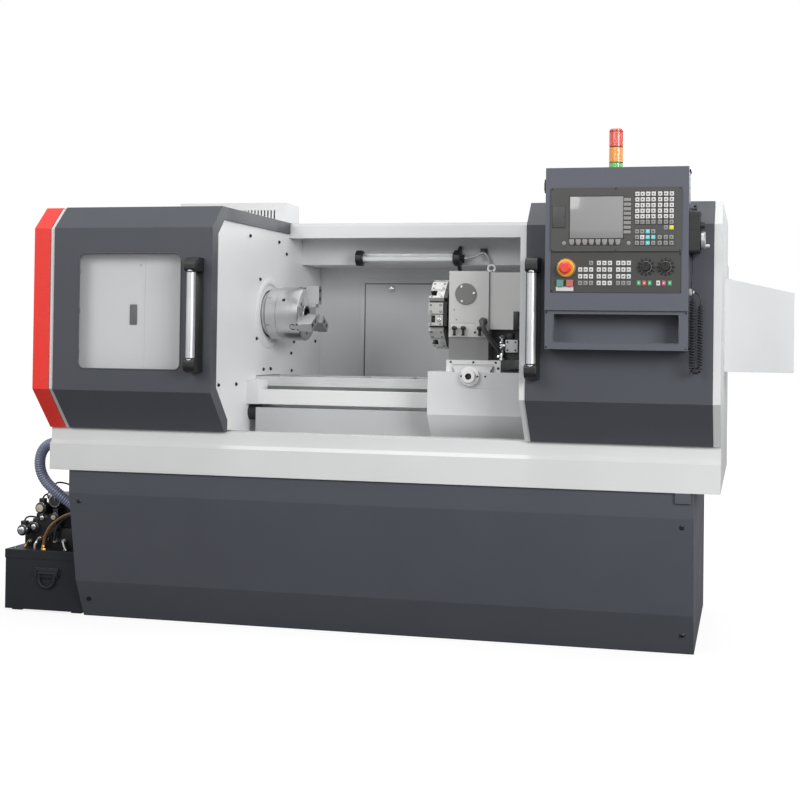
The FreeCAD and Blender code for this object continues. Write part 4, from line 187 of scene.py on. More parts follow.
def ground(name, colour, rough=0.3, stretch=(6, 900, 900), metal=1.0, extra=None):
    """Ground steel with fine marks along one direction."""
    made = Finish(name, colour, rough, Metallic=metal)
    if extra:
        extra(made)
    marks = made.noise(1.0, 3, stretch)
    made.tint(made.span(marks, 0.35, 0.65, 0.0, 0.16), (0.02, 0.02, 0.02, 1))
    made.mottle(8, 0.12)
    made.soften(0.8, 0.6, srgb(235, 235, 235))
    made.gloss(marks, rough - 0.08, rough + 0.14)
    made.bump(marks, 0.03)
    return made.done()


def lathed(name, colour, rough, centre, metal=1.0, pitch=1400, extra=None):
    """Steel turned about an axis along X: rings on the faces and on the rim."""
    made = Finish(name, colour, rough, Metallic=metal)
    if extra:
        extra(made)
    rings = made.noise(pitch, 2, None, made.around(*centre))
    made.tint(made.span(rings, 0.35, 0.65, 0.0, 0.2), (0.02, 0.02, 0.02, 1))
    made.mottle(10, 0.1)
    made.soften(0.8, 0.6, srgb(240, 240, 240))
    made.gloss(rings, rough - 0.08, rough + 0.12)
    made.bump(rings, 0.03)
    return made.done()


def moulded(name, colour, rough=0.45, grain=0.04, coat=0.0, scale=900):
    """Moulded plastic with a fine spark-eroded grain."""
    made = Finish(name, colour, rough, Coat_Weight=coat, Coat_Roughness=0.12, Specular_IOR_Level=0.5)
    made.mottle(14, 0.06)
    made.soften(0.6)
    made.gloss(made.noise(30, 3), rough - 0.06, rough + 0.08)
    made.bump(made.noise(scale, 2), grain)
    return made.done()


def clear(name, colour, alpha, rough=0.06):
    """A pane or tube that is seen through."""
    made = Finish(name, colour, rough, Alpha=alpha, Specular_IOR_Level=0.8, Coat_Weight=0.6, Coat_Roughness=0.03)
    made.gloss(made.noise(3, 3), rough * 0.6, rough * 1.5)
    return made.done()


def lens(name, colour):
    """A coloured signal lens with fine vertical ribs."""
    made = Finish(name, colour, 0.22, Coat_Weight=1.0, Coat_Roughness=0.05, Subsurface_Weight=0.25,
                  Subsurface_Scale=0.004, Emission_Color=colour, Emission_Strength=0.12)
    parts = made.add("ShaderNodeSeparateXYZ", {0: made.place}).outputs
    side = made.math("SUBTRACT", parts[0], 843 * MM)
    depth = made.math("ADD", parts[1], 430 * MM)
    angle = made.math("ARCTAN2", side, depth)
    ribs = made.math("SINE", made.math("MULTIPLY", angle, 64.0))
    made.tint(made.span(ribs, -1, 1, 0, 0.18), (0, 0, 0, 1))
    made.bump(ribs, 0.25)
    return made.done()


PALE = srgb(230, 231, 232)
DARK = srgb(82, 85, 92)


def door_strip(made):
    """The pale edge of the right door."""
    made.tint(made.inside((None, None, None), (574.9, None, None)), PALE)


def panel_face(made):
    """The machine panel's darker face on the control box."""
    made.tint(made.inside((669, None, 1178), (1071, -671, 1304)), srgb(74, 74, 73))


def riser_shade(made):
    """Painted shade: grey on the casting under the turret head, and black painted shadow under its drive, beyond x
    394.5.
    """
    made.tint(made.inside((None, None, 956), (395, None, 1034.9)), srgb(140, 140, 141))
    made.tint(made.inside((394.5, None, 956), (None, None, 1063)), srgb(34, 34, 35))


def bush_black(made):
    """The black bush of the long screw."""
    made.tint(made.inside((-507.6, None, None), (None, None, None)), srgb(34, 34, 35))


def wiper_white(made):
    """The painted wiper plate at the front of the cross slide."""
    plate = made.inside((None, None, None), (None, -339.9, None))
    made.tint(plate, srgb(252, 252, 251))
    made.fill(made.shader, {"Metallic": made.span(plate, 0, 1, 0.6, 0.0)})


def flange_painted_shade(made):
    """Painted shade on the flange behind the clamping blocks: dark as if in shadow."""
    made.tint(made.inside((231.5, None, None), (None, None, None)), srgb(48, 48, 50))


def tray_foot(made):
    """The dark foot block under the tray's right end."""
    made.tint(made.inside((1040, None, None), (1100, None, 543)), srgb(84, 87, 95))


def guard_shade(made):
    """Painted shade on the guard plate under the cover of the long screw: greyer below z 778, where the cover overhangs
    it.
    """
    made.tint(made.inside((None, None, None), (None, None, 778)), srgb(196, 197, 198))


AXIS = (-46, 1114)
FINISHES = {
    "door": paint("door_grey", DARK),
    "door_with_strip": paint("door_grey_with_pale_edge", DARK, extra=door_strip),
    "box": paint("control_box_grey", srgb(98, 101, 110), extra=panel_face),
    "base": paint("base_grey", srgb(84, 87, 95), 0.5),
    "tank": paint("tank_grey", srgb(38, 40, 46), 0.5, 0.09),
    "white": paint("pale_sheet", PALE, 0.42),
    "tray": paint("tray_sheet", srgb(232, 233, 233), 0.4, extra=tray_foot),
    "screw_cover": paint("screw_cover_sheet", srgb(240, 240, 240), 0.38, extra=guard_shade),
    "inner": paint("inner_sheet", srgb(230, 231, 232), 0.42),
    "bulkhead": paint("bulkhead_sheet", srgb(243, 244, 245), 0.42, extra=bush_black),
    "bright": paint("bright_sheet", srgb(250, 250, 249), 0.4),
    "red": paint("accent_red", srgb(255, 60, 50), 0.26, 0.03),
    "head": paint("turret_sheet", srgb(224, 224, 223), 0.4, extra=riser_shade),
    "casting": cast("machine_casting", srgb(172, 176, 180)),
    "iron": ground("ground_iron", srgb(160, 160, 161), 0.34),
    "ways": ground("ground_ways", srgb(224, 225, 226), 0.32, (6, 900, 900), 0.55),
    "slide": ground("ground_slide", srgb(205, 206, 206), 0.34, (900, 6, 900), 0.6, wiper_white),
    "steel": ground("ground_steel", srgb(200, 200, 202), 0.26, (900, 900, 6)),
    "turned": lathed("turned_steel", srgb(214, 215, 217), 0.2, AXIS),
    "disc": lathed("blackened_disc", srgb(52, 52, 54), 0.38, (-172, 1114), 0.8),
    # The tool blocks carry painted shade on the flange behind them.
    "blocks": lathed("nickel_blocks", srgb(206, 206, 204), 0.4, (-172, 1114), 0.35, extra=flange_painted_shade),
    "jaw": ground("hardened_jaw", srgb(198, 199, 201), 0.3, (900, 900, 900), 0.9),
    "screw": ground("thread_steel", srgb(170, 170, 172), 0.28, (900, 6, 6)),
    "chrome": Finish("chrome", srgb(225, 226, 228), 0.08, Metallic=1.0).soften(0.4).done(),
    "brass": ground("brass_fitting", srgb(158, 128, 74), 0.25, (400, 400, 400)),
    "cream": moulded("cap_cream", srgb(206, 204, 178), 0.35),
    "satin": ground("satin_bar", srgb(226, 227, 230), 0.34, (900, 900, 6), 0.7),
    "cover_grey": paint("cover_grey", srgb(132, 132, 131), 0.45),
    "lead": moulded("lead_grey", srgb(84, 84, 85), 0.5),
    "zinc": ground("zinc_plate", srgb(190, 192, 190), 0.34, (60, 60, 60)),
    "black_steel": ground("black_oxide", srgb(38, 38, 40), 0.42, (300, 300, 300), 0.6),
    "black": moulded("black_plastic", srgb(30, 30, 32), 0.4),
    "rubber": moulded("black_rubber", srgb(24, 24, 25), 0.6, 0.05),
    "bezel": moulded("display_bezel", srgb(74, 74, 73), 0.5),
    "bezel_dark": moulded("bezel_recess", srgb(44, 44, 45), 0.5),
    "screen": Finish("screen_glass", srgb(150, 150, 150), 0.14, Coat_Weight=0.5, Coat_Roughness=0.03).done(),
    "key": moulded("key_pale", srgb(222, 221, 220), 0.4, 0.02),
    "key_grey": moulded("key_grey", srgb(150, 148, 147), 0.42, 0.02),
    "key_cyan": moulded("key_cyan", srgb(112, 208, 212), 0.4, 0.02),
    "key_yellow": moulded("key_yellow", srgb(236, 226, 70), 0.4, 0.02),
    "key_green": moulded("key_green", srgb(72, 178, 118), 0.4, 0.02),
    "key_red": moulded("key_red", srgb(214, 92, 82), 0.4, 0.02),
    "key_pink": moulded("key_pink", srgb(214, 96, 130), 0.4, 0.02),
    "stop": moulded("stop_red", srgb(238, 66, 44), 0.24, 0.0, 0.6),
    "amber": moulded("collar_yellow", srgb(246, 178, 42), 0.32, 0.0, 0.4),
    "green_button": moulded("button_green", srgb(92, 150, 140), 0.3, 0.0, 0.4),
    "red_button": moulded("button_red", srgb(200, 108, 98), 0.3, 0.0, 0.4),
    "pendant": moulded("pendant_shell", srgb(34, 34, 36), 0.42),
    "pane": clear("window_pane", srgb(214, 219, 220), 0.1),
    "tube": clear("lamp_tube", srgb(232, 238, 240), 0.28, 0.04),
    "glow": Finish("lamp_inner", srgb(245, 246, 246), 0.35, Emission_Color=(1, 1, 1, 1), Emission_Strength=0.1).done(),
    "red_lens": lens("lens_red", srgb(236, 60, 30)),
    "amber_lens": lens("lens_amber", srgb(252, 158, 32)),
    "green_lens": lens("lens_green", srgb(96, 196, 78)),
    "hose": moulded("drain_hose_pvc", srgb(138, 144, 172), 0.3, 0.03, 0.3),
    "oil": moulded("oil_hose_amber", srgb(118, 82, 38), 0.28, 0.03, 0.5),
    "cord": moulded("cord_pvc", srgb(30, 31, 34), 0.38, 0.02, 0.2),
    "belt": moulded("belt_rubber", srgb(32, 32, 33), 0.65, 0.2),
    "motor": cast("motor_paint", srgb(96, 112, 128)),
}

NODE_FINISH = {
    "base_frame": "base", "base_front_panel": "base", "chip_tray": "tray", "bed": "ways",
    "headstock": "casting", "headstock_cover": "white", "spindle_bearings": "chrome", "bulkhead": "bulkhead",
    "left_end_panel": "red", "right_end_panel": "white", "tail_hood": "white", "rear_wall": "inner",
    "top_beam": "white", "electrical_cabinet": "white", "main_motor": "motor", "drive_belt": "belt",
    "coolant_tank": "tank", "screw_cover": "screw_cover", "left_door": "door", "left_window": "pane",
    "left_handle": "black", "right_door": "door_with_strip", "right_handle": "black", "control_box": "box",
    "display_unit": "bezel", "pendant_body": "pendant", "spindle": "turned", "chuck_body": "turned",
    "chuck_jaw_1": "jaw", "chuck_jaw_2": "jaw", "chuck_jaw_3": "jaw", "motor_pulley": "iron",
    "saddle": "white", "apron_cover": "white", "cross_slide": "slide", "turret_housing": "head",
    "turret_disc": "disc", "tool_blocks": "blocks", "feed_screw": "screw", "tailstock": "casting",
    "tailstock_quill": "turned", "tailstock_handwheel": "zinc", "rear_hatch": "inner", "cabinet_door": "white",
    "tank_handle": "tank", "stop_mushroom": "stop", "start_button": "green_button", "halt_button": "red_button",
    "feed_knob": "black", "speed_knob": "black", "pendant_dial": "satin", "pendant_selector": "black",
    "hydraulic_unit": "black_steel", "work_lamp": "black", "signal_tower": "black", "panel_keys": "key",
    "casing_bolts": "black_steel", "drain_hose": "hose", "oil_hose": "oil", "pendant_cord": "cord",
}

for node_name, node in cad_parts.items():
    node.data.materials.clear()
    node.data.materials.append(FINISHES[NODE_FINISH[node_name]])


# ---------------------------------------------------------------- mesh pieces

class Piece:
    """One piece of the scene, gathered from shapes that are given in millimetres."""

    def __init__(self, name, finish, turn=None):
        self.name = name
        self.mesh = bmesh.new()
        self.finishes = []
        self.use(finish)
        self.turn = turn

    def use(self, finish):
        """The material of the shapes that follow."""
        if finish not in self.finishes:
            self.finishes.append(finish)
        self.index = self.finishes.index(finish)
        return self

    def keep(self, shape, turn=None):
        """Take a shape into the piece, turned where that is asked for."""
        for matrix in (turn, self.turn):
            if matrix:
                shape.transform(matrix)
        for face in shape.faces:
            face.material_index = self.index
        carrier = bpy.data.meshes.new("carrier")
        shape.to_mesh(carrier)
        self.mesh.from_mesh(carrier)
        bpy.data.meshes.remove(carrier)
        shape.free()
        return self

    def solid(self, points, faces, bevel, turn=None, segments=2):
        shape = bmesh.new()
        corners = [shape.verts.new(point) for point in points]
        for face in faces:
            shape.faces.new([corners[index] for index in face])
        bmesh.ops.recalc_face_normals(shape, faces=shape.faces)
        if bevel:
            bmesh.ops.bevel(shape, geom=list(shape.edges), offset=bevel, segments=segments, affect="EDGES",
                            profile=0.6)
        return self.keep(shape, turn)

    def block(self, low, high, bevel=0.8, turn=None, segments=2):
        """A block between two corners with rounded edges."""
        points = [(x, y, z) for x in (low[0], high[0]) for y in (low[1], high[1]) for z in (low[2], high[2])]
        faces = [(0, 1, 3, 2), (4, 6, 7, 5), (0, 4, 5, 1), (2, 3, 7, 6), (0, 2, 6, 4), (1, 5, 7, 3)]
        return self.solid(points, faces, bevel, turn, segments)

    def prism(self, axis, low, high, outline, bevel=0.5, turn=None, segments=2):
        """A straight solid over an outline in the two other axes, in their XYZ order."""
        count = len(outline)

        def at(place, pair):
            values = list(pair)
            values.insert("XYZ".index(axis), place)
            return tuple(values)
        points = [at(place, pair) for place in (low, high) for pair in outline]
        faces = [tuple(range(count)), tuple(range(2 * count - 1, count - 1, -1))]
        faces += [(i, (i + 1) % count, (i + 1) % count + count, i + count) for i in range(count)]
        return self.solid(points, faces, bevel, turn, segments)

    def lathe(self, origin, axis, profile, sides=40, turn=None):
        """A profile of (along, radius) spun about an axis through a point."""
        axis = Vector(axis).normalized()
        across = axis.orthogonal().normalized()
        other = axis.cross(across)
        origin = Vector(origin)
        shape = bmesh.new()
        rings = []
        for along, radius in profile:
            if radius < 1e-6:
                rings.append([shape.verts.new(origin + axis * along)])
                continue
            rings.append([shape.verts.new(origin + axis * along + (across * math.cos(t) + other * math.sin(t)) * radius)
                          for t in (2 * math.pi * i / sides for i in range(sides))])
        for first, second in zip(rings, rings[1:]):
            for i in range(sides):
                j = (i + 1) % sides
                loop = [first[i % len(first)], first[j % len(first)], second[j % len(second)], second[i % len(second)]]
                loop = [corner for spot, corner in enumerate(loop) if corner not in loop[:spot]]
                if len(loop) > 2:
                    shape.faces.new(loop)
        bmesh.ops.recalc_face_normals(shape, faces=shape.faces)
        return self.keep(shape, turn)

    def rod(self, origin, axis, radius, length, edge=0.6, sides=32, turn=None):
        """A round bar with broken edges."""
        edge = min(edge, radius * 0.4, length * 0.4)
        return self.lathe(origin, axis, [(0, 0), (0, radius - edge), (edge, radius), (length - edge, radius),
                                         (length, radius - edge), (length, 0)], sides, turn)

    def cap_screw(self, origin, axis, radius, height, turn=None):
        """A socket head screw with its hexagon recess."""
        self.lathe(origin, axis, [(0, radius), (height * 0.8, radius), (height, radius * 0.86),
                                  (height, radius * 0.55)], 24, turn)
        return self.lathe(origin, axis, [(height, radius * 0.58), (height * 0.35, radius * 0.5), (height * 0.35, 0)],
                          6, turn)

    def hex_nut(self, origin, axis, radius, height, turn=None):
        """A hexagon nut with chamfered corners."""
        return self.lathe(origin, axis, [(0, 0), (0, radius), (height * 0.8, radius), (height, radius * 0.86),
                                         (height, 0)], 6, turn)

    def sweep(self, line, radius, sides=12, turn=None):
        """A round tube along a line of points in millimetres; the radius may follow the distance."""
        shape = bmesh.new()
        line = [Vector(point) for point in line]
        heading = (line[1] - line[0]).normalized()
        across = heading.orthogonal().normalized()
        distance, rings = 0.0, []
        for index, point in enumerate(line):
            before, after = line[max(index - 1, 0)], line[min(index + 1, len(line) - 1)]
            new_heading = (after - before).normalized()
            across = (heading.rotation_difference(new_heading) @ across)
            across = (across - new_heading * across.dot(new_heading)).normalized()
            heading = new_heading
            other = heading.cross(across)
            distance += (point - line[max(index - 1, 0)]).length
            size = radius(distance) if callable(radius) else radius
            rings.append([shape.verts.new(point + (across * math.cos(t) + other * math.sin(t)) * size)
                          for t in (2 * math.pi * i / sides for i in range(sides))])
        for first, second in zip(rings, rings[1:]):
            for i in range(sides):
                j = (i + 1) % sides
                shape.faces.new((first[i], first[j], second[j], second[i]))
        shape.faces.new(rings[0])
        shape.faces.new(rings[-1])
        bmesh.ops.recalc_face_normals(shape, faces=shape.faces)
        return self.keep(shape, turn)

    def done(self, body, replaces=(), sharp=35):
        """Put the piece in the scene, on a body of the part."""
        data = bpy.data.meshes.new(self.name)
        bmesh.ops.scale(self.mesh, vec=(MM, MM, MM), verts=self.mesh.verts)
        self.mesh.to_mesh(data)
        self.mesh.free()
        for finish in self.finishes:
            data.materials.append(FINISHES[finish])
        data.shade_smooth()
        data.set_sharp_from_angle(angle=math.radians(sharp))
        made = bpy.data.objects.new(self.name, data)
        bpy.context.scene.collection.objects.link(made)
        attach(made, body)
        if replaces:
            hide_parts(*replaces)
        return made


def about(point, axis, angle):
    """A turn by degrees about an axis through a point."""
    shift = Matrix.Translation(Vector(point))
    return shift @ Matrix.Rotation(math.radians(angle), 4, axis) @ shift.inverted()


def smooth_line(points, name="line"):
    """The line of a smooth spline over control points, read back as points in millimetres."""
    curve = bpy.data.curves.new(name, "CURVE")
    curve.dimensions = "3D"
    curve.resolution_u = 18
    spline = curve.splines.new("NURBS")
    spline.points.add(len(points) - 1)
    for point, place in zip(spline.points, points):
        point.co = (place[0] * MM, place[1] * MM, place[2] * MM, 1)
    spline.order_u = 3
    spline.use_endpoint_u = True
    holder = bpy.data.objects.new(name, curve)
    data = bpy.data.meshes.new_from_object(holder)
    line = [vertex.co / MM for vertex in data.vertices]
    bpy.data.objects.remove(holder)
    bpy.data.curves.remove(curve)
    bpy.data.meshes.remove(data)
    return line


def lengths(line):
    """The distance along a line at each of its points."""
    marks = [0.0]
    for first, second in zip(line, line[1:]):
        marks.append(marks[-1] + (second - first).length)
    return marks


def walk(line, distance, marks):
    """The point and heading at a distance along a line."""
    distance = min(max(distance, 0.0), marks[-1])
    index = next((i for i in range(1, len(marks)) if marks[i] >= distance), len(marks) - 1)
    share = (distance - marks[index - 1]) / max(marks[index] - marks[index - 1], 1e-9)
    return line[index - 1].lerp(line[index], share), (line[index] - line[index - 1]).normalized()


# ---------------------------------------------------------------- hoses and cord


def make_drain_hose():
    points = [(-1188.3, -331, 630), (-1238, -331, 630), (-1280, -327, 600.2), (-1294, -323, 545.8),
              (-1280, -317, 491.9), (-1240, -307, 448), (-1196, -291, 410.1), (-1154, -271, 369.9),
              (-1134, -251, 320), (-1134, -247, 270), (-1134, -247, 227.3)]
    line = smooth_line(points)
    marks = lengths(line)
    pitch, outer, valley = 9.0, 20.0, 18.3
    steps = int(marks[-1] / pitch * 8)
    fine = [walk(line, marks[-1] * index / steps, marks)[0] for index in range(steps + 1)]

    def ribs(distance):
        wave = 0.5 - 0.5 * math.cos(2 * math.pi * distance / pitch)
        return valley + (outer - valley) * wave ** 0.6
    made = Piece("drain_hose_ribbed", "hose").sweep(fine, ribs, 28).done("frame", ["drain_hose"], 80)
    clamps = Piece("drain_hose_clamps", "zinc")
    for origin, axis in (((-1200, -331, 630), (-1, 0, 0)), ((-1134, -247, 240), (0, 0, 1))):
        clamps.lathe(origin, axis, [(0, 20.2), (0, 21.4), (9, 21.4), (9, 20.2)], 40)
        side = Vector(origin) + Vector((0, -26, 0)) + Vector(axis) * 4.5
        clamps.rod(side - Vector((0, 0, 8) if axis[0] else (8, 0, 0)), (0, 0, 1) if axis[0] else (1, 0, 0), 3.4, 16)
    clamps.done("frame")


def make_oil_hose():
    points = [(-1270.3, -323, 227.3), (-1270.3, -323, 262.3), (-1258.3, -323, 296.3), (-1234.3, -323, 326.3),
              (-1202.3, -323, 350.3), (-1166.3, -323, 366.3), (-1132.3, -323, 373.3), (-1098.3, -323, 373.3)]
    line = smooth_line(points)
    made = Piece("oil_hose_amber", "oil").sweep(line, 6.0, 20).done("frame", ["oil_hose"], 80)
    ends = Piece("oil_hose_ends", "brass")
    ends.hex_nut((-1270.3, -323, 227.2), (0, 0, 1), 9.5, 9).lathe((-1270.3, -323, 236), (0, 0, 1),
                                                                 [(0, 8), (10, 7), (12, 6.1)], 24)
    ends.done("frame")


def make_pendant_cord():
    """The lead, the curled loop and the tail follow one smooth line."""
    x, y = 1103.3, -629
    far_x, far_y = 1127.3, -606
    bend = math.dist((x, y), (far_x, far_y)) / 2
    lead = [(x, y, 1300.7), (x, y, 1258.5), (x - 1.5, y, 1224.3), (x - 1.5, y, 1195.5), (x, y, 1176.3)]
    loop = [(x, y, 1164), (x, y, 1060), (x, y, 970), (x, y, 956 - bend), (far_x, far_y, 956 - bend),
            (far_x, far_y, 970), (far_x, far_y, 1060), (far_x, far_y, 1148)]
    tail = [(far_x, far_y, 1166), (1116.3, far_y, 1183), (1099.3, far_y, 1183)]
    line = smooth_line(lead + loop + tail)
    marks = lengths(line)
    first = next(mark for point, mark in zip(line, marks) if point.z <= 1164)
    last = max(mark for point, mark in zip(line, marks) if point.x > 1125 and point.z <= 1150)
    turns, steps, curl = 54, 16, 7.4
    length = last - first
    pitch = length / turns
    normal = Vector((far_x - x, far_y - y, 0)).normalized().cross(Vector((0, 0, 1)))
    wire = [point for point, mark in zip(line, marks) if mark < first]
    for index in range(turns * steps + 1):
        distance = length * index / (turns * steps)
        middle, heading = walk(line, first + distance, marks)
        share = min(1.0, min(distance, length - distance) / (pitch * 1.5))
        radius = curl * (1 - math.cos(math.pi * share)) / 2
        turn = 2 * math.pi * index / steps
        wire.append(middle + (normal * math.cos(turn) + heading.cross(normal) * math.sin(turn)) * radius)
    wire += [point for point, mark in zip(line, marks) if mark > last]
    made = Piece("pendant_cord_curled", "cord").sweep(wire, 2.0, 10).done("right_door", ["pendant_cord"], 80)
    reliefs = Piece("pendant_cord_reliefs", "rubber")
    reliefs.lathe((x, y, 1301.4), (0, 0, -1), [(0, 5.2), (4, 5.2), (6, 4.2), (20, 2.6), (22, 2.05)], 24)
    reliefs.use("key").lathe((1092, far_y, 1183), (1, 0, 0), [(0, 0), (0, 11), (7.2, 11), (7.2, 8), (14, 4.4), (16, 2.1)], 24)
    reliefs.done("right_door")


# ---------------------------------------------------------------- control box

BOX_LEFT, BOX_FRONT = 651, -672
DISPLAY_FRONT = -677


def keycap(piece, x, z, width, height, front, proud=1.8, taper=0.9):
    """A keycap with a crown and sloping sides."""
    half_w, half_h = width / 2, height / 2
    points = []
    for y, share in ((front + 0.4, 1.0), (front - proud * 0.6, 0.97), (front - proud, taper - 0.06)):
        points += [(x - half_w * share, y, z - half_h * share), (x + half_w * share, y, z - half_h * share),
                   (x + half_w * share, y, z + half_h * share), (x - half_w * share, y, z + half_h * share)]
    faces = [(3, 2, 1, 0), (8, 9, 10, 11)]
    for base in (0, 4):
        faces += [(base + i, base + (i + 1) % 4, base + 4 + (i + 1) % 4, base + 4 + i) for i in range(4)]
    piece.solid(points, faces, 0.35)
    if width < 16:
        kept = piece.finishes[piece.index]
        mark = "bezel" if kept in ("key", "key_grey") else "key"
        piece.use(mark).block((x - 2.3, front - proud - 0.12, z - 2.1), (x + 2.3, front - proud + 0.3, z + 2.1), 0.1)
        piece.use(kept)


def make_keys():
    keys = Piece("keycaps", "key")
    wide, across = (935.8, 951.9, 968.4, 985.2), (1005.0, 1023.2, 1040.3)
    for row, z in enumerate((1481, 1463.7, 1446.2, 1428.9, 1412, 1395)):
        keys.use("key" if row < 5 else "key_grey")
        for x in wide + across:
            keycap(keys, x, z, 13.2, 13.4, DISPLAY_FRONT)
    cursor = (("key_grey", "key_grey", "key_cyan", "key_grey"), ("key_grey", "key", "key_cyan", "key_cyan"),
              ("key_grey", "key_grey", "key_cyan", "key_grey"))
    for z, colours in zip((1366, 1348.4, 1330.8), cursor):
        for x, colour in zip(wide, colours):
            keycap(keys.use(colour), x, z, 13.2, 13.4, DISPLAY_FRONT)
    for z in (1348.4, 1330.8):
        for x in across:
            keycap(keys.use("key_grey"), x, z, 13.2, 13.4, DISPLAY_FRONT)
    keycap(keys.use("key_grey"), 1023.2, 1377.7, 13.2, 13.4, DISPLAY_FRONT)
    keycap(keys.use("key_yellow"), 1040.3, 1377.7, 13.2, 13.4, DISPLAY_FRONT)
    for index in range(8):
        keycap(keys.use("key_grey"), 905.4, 1463.7 - 14.17 * index, 22.5, 10.4, DISPLAY_FRONT)
        x = 734.8 + 20.4 * index
        keys.prism("Y", DISPLAY_FRONT - 1.8, DISPLAY_FRONT + 0.3,
                   [(x - 7.6, 1342.8), (x - 7.6, 1334), (x - 4.6, 1325.4), (x + 4.6, 1325.4), (x + 7.6, 1334),
                    (x + 7.6, 1342.8)], 0.5)
    for x in (710.6, 910.6):
        keys.lathe((x, DISPLAY_FRONT + 0.3, 1330.4), (0, -1, 0), [(0, 0), (0, 6.2), (1.4, 6.2), (2.1, 5), (2.1, 0)], 28)
    columns = (761.7, 778.5, 795.3, 819.3, 836.2, 853.4, 879.0, 894.9, 911.4)
    for row, z in enumerate((1269.6, 1249.2, 1228.3, 1207.9)):
        for column, x in enumerate(columns):
            if row == 0 and column < 2:
                continue
            dim = (row == 0 and column == 2) or (row == 3 and (column < 3 or column > 5))
            keycap(keys.use("key_grey" if dim else "key"), x, z, 13, 13.8, BOX_FRONT)
    lower = ((942.3, "key_green"), (958.9, "key_red"), (975.4, "key_green"), (1001.4, "key"), (1018.2, "key_pink"),
             (1036.3, "key_green"))
    for x, colour in lower:
        keycap(keys.use(colour), x, 1208.4, 11.8, 15, BOX_FRONT)
    made = keys.done("right_door", ["panel_keys"])
    wells = Piece("key_wells", "bezel_dark")
    for left, right, foot, head in ((927.5, 993.5, 1386.5, 1489.6), (996.5, 1048.8, 1386.5, 1489.6),
                                    (927.5, 993.5, 1322.3, 1374.6), (996.5, 1048.8, 1322.3, 1357),
                                    (893, 917.8, 1357.6, 1470.4), (725.6, 885.4, 1323.6, 1344.4)):
        wells.block((left, DISPLAY_FRONT - 0.35, foot), (right, DISPLAY_FRONT + 0.5, head), 0.3)
    wells.done("right_door")


def make_display():
    parts = Piece("display_trim", "bezel_dark")
    left, right, foot, head = 728, 894, 1346, 1475
    rim = 2.2
    for low, high in (((left - rim, 0, foot - rim), (right + rim, 0, foot)), ((left - rim, 0, head), (right + rim, 0, head + rim)),
                      ((left - rim, 0, foot), (left, 0, head)), ((right, 0, foot), (right + rim, 0, head))):
        parts.block((low[0], DISPLAY_FRONT - 0.9, low[2]), (high[0], DISPLAY_FRONT + 1.6, high[2]), 0.4)
    parts.use("screen").block((left + 0.2, DISPLAY_FRONT + 0.6, foot + 0.2), (right - 0.2, DISPLAY_FRONT + 1.9, head - 0.2), 0.2)
    parts.use("bezel").block((674, DISPLAY_FRONT - 2.4, 1379), (713, DISPLAY_FRONT + 0.3, 1445), 1.4)
    parts.use("bezel_dark").block((672.6, DISPLAY_FRONT - 0.6, 1377.4), (714.6, DISPLAY_FRONT + 0.3, 1446.6), 0.5)
    parts.rod((709.5, DISPLAY_FRONT - 2.3, 1412), (0, -1, 0), 2.2, 0.8, 0.3, 20)
    parts.use("key").block((686.3, BOX_FRONT - 1.0, 1182.7), (741, BOX_FRONT + 0.2, 1196.5), 0.4)
    parts.use("bezel_dark").block((669.5, BOX_FRONT - 0.9, 1302.4), (1070.5, BOX_FRONT + 0.3, 1304.8), 0.3)
    for low, high in (((669.5, 1177.4), (1070.5, 1179.4)), ((668.8, 1178), (670.4, 1303)), ((1069.6, 1178), (1071.2, 1303))):
        parts.block((low[0], BOX_FRONT - 0.7, low[1]), (high[0], BOX_FRONT + 0.3, high[1]), 0.3)
    parts.use("black_steel")
    for x in (673.5, 870, 1066.5):
        for z in (1308.8, 1498.4):
            parts.cap_screw((x, DISPLAY_FRONT + 0.2, z), (0, -1, 0), 2.3, 1.3)
    for x in (673.5, 1066.5):
        for z in (1183.4, 1297):
            parts.cap_screw((x, BOX_FRONT + 0.2, z), (0, -1, 0), 2.3, 1.3)
    parts.done("right_door")

    stop = Piece("stop_collar", "amber")
    stop.lathe((717, BOX_FRONT + 0.2, 1254), (0, -1, 0), [(0, 29.6), (3.4, 29.6), (5.9, 26), (6.1, 22), (5.6, 12), (5.2, 11.2)], 56)
    for index in range(3):
        turn = about((717, BOX_FRONT, 1254), "Y", 120 * index + 20)
        stop.prism("Y", BOX_FRONT - 6.4, BOX_FRONT - 5, [(714, 1276.5), (720, 1276.5), (717, 1279.5)], 0.1, turn)
    stop.done("right_door")

    scales = Piece("knob_scales", "black")
    for x in (964, 1024):
        for index in range(12):
            turn = about((x, BOX_FRONT, 1258), "Y", 30 * index)
            petal = [(x - 2.2, 1275.2), (x - 4.2, 1281), (x - 3.4, 1286.6), (x + 3.4, 1286.6), (x + 4.2, 1281), (x + 2.2, 1275.2)]
            scales.prism("Y", BOX_FRONT - 0.7, BOX_FRONT + 0.2, petal, 0.2, turn)
        rim = [(0, 17), (0.6, 17), (0.6, 15.6), (0, 15.6)]
        scales.use("key_grey").lathe((x, BOX_FRONT + 0.1, 1258), (0, -1, 0), rim, 48).use("black")
    scales.done("right_door")

    for name, x in (("feed", 964), ("speed", 1024)):
        knob = Piece(f"{name}_knob_fluted", "black")
        front = BOX_FRONT - 0.4
        for index in range(18):
            turn = about((x, front, 1258), "Y", 20 * index)
            knob.prism("Y", front - 14.5, front - 3, [(x - 1.5, 1271.6), (x + 1.5, 1271.6), (x + 0.7, 1273.8), (x - 0.7, 1273.8)], 0.2, turn)
        knob.use("key").block((x - 0.7, front - 19.9, 1260), (x + 0.7, front - 17, 1269.4), 0.15)
        knob.done(f"{name}_knob")


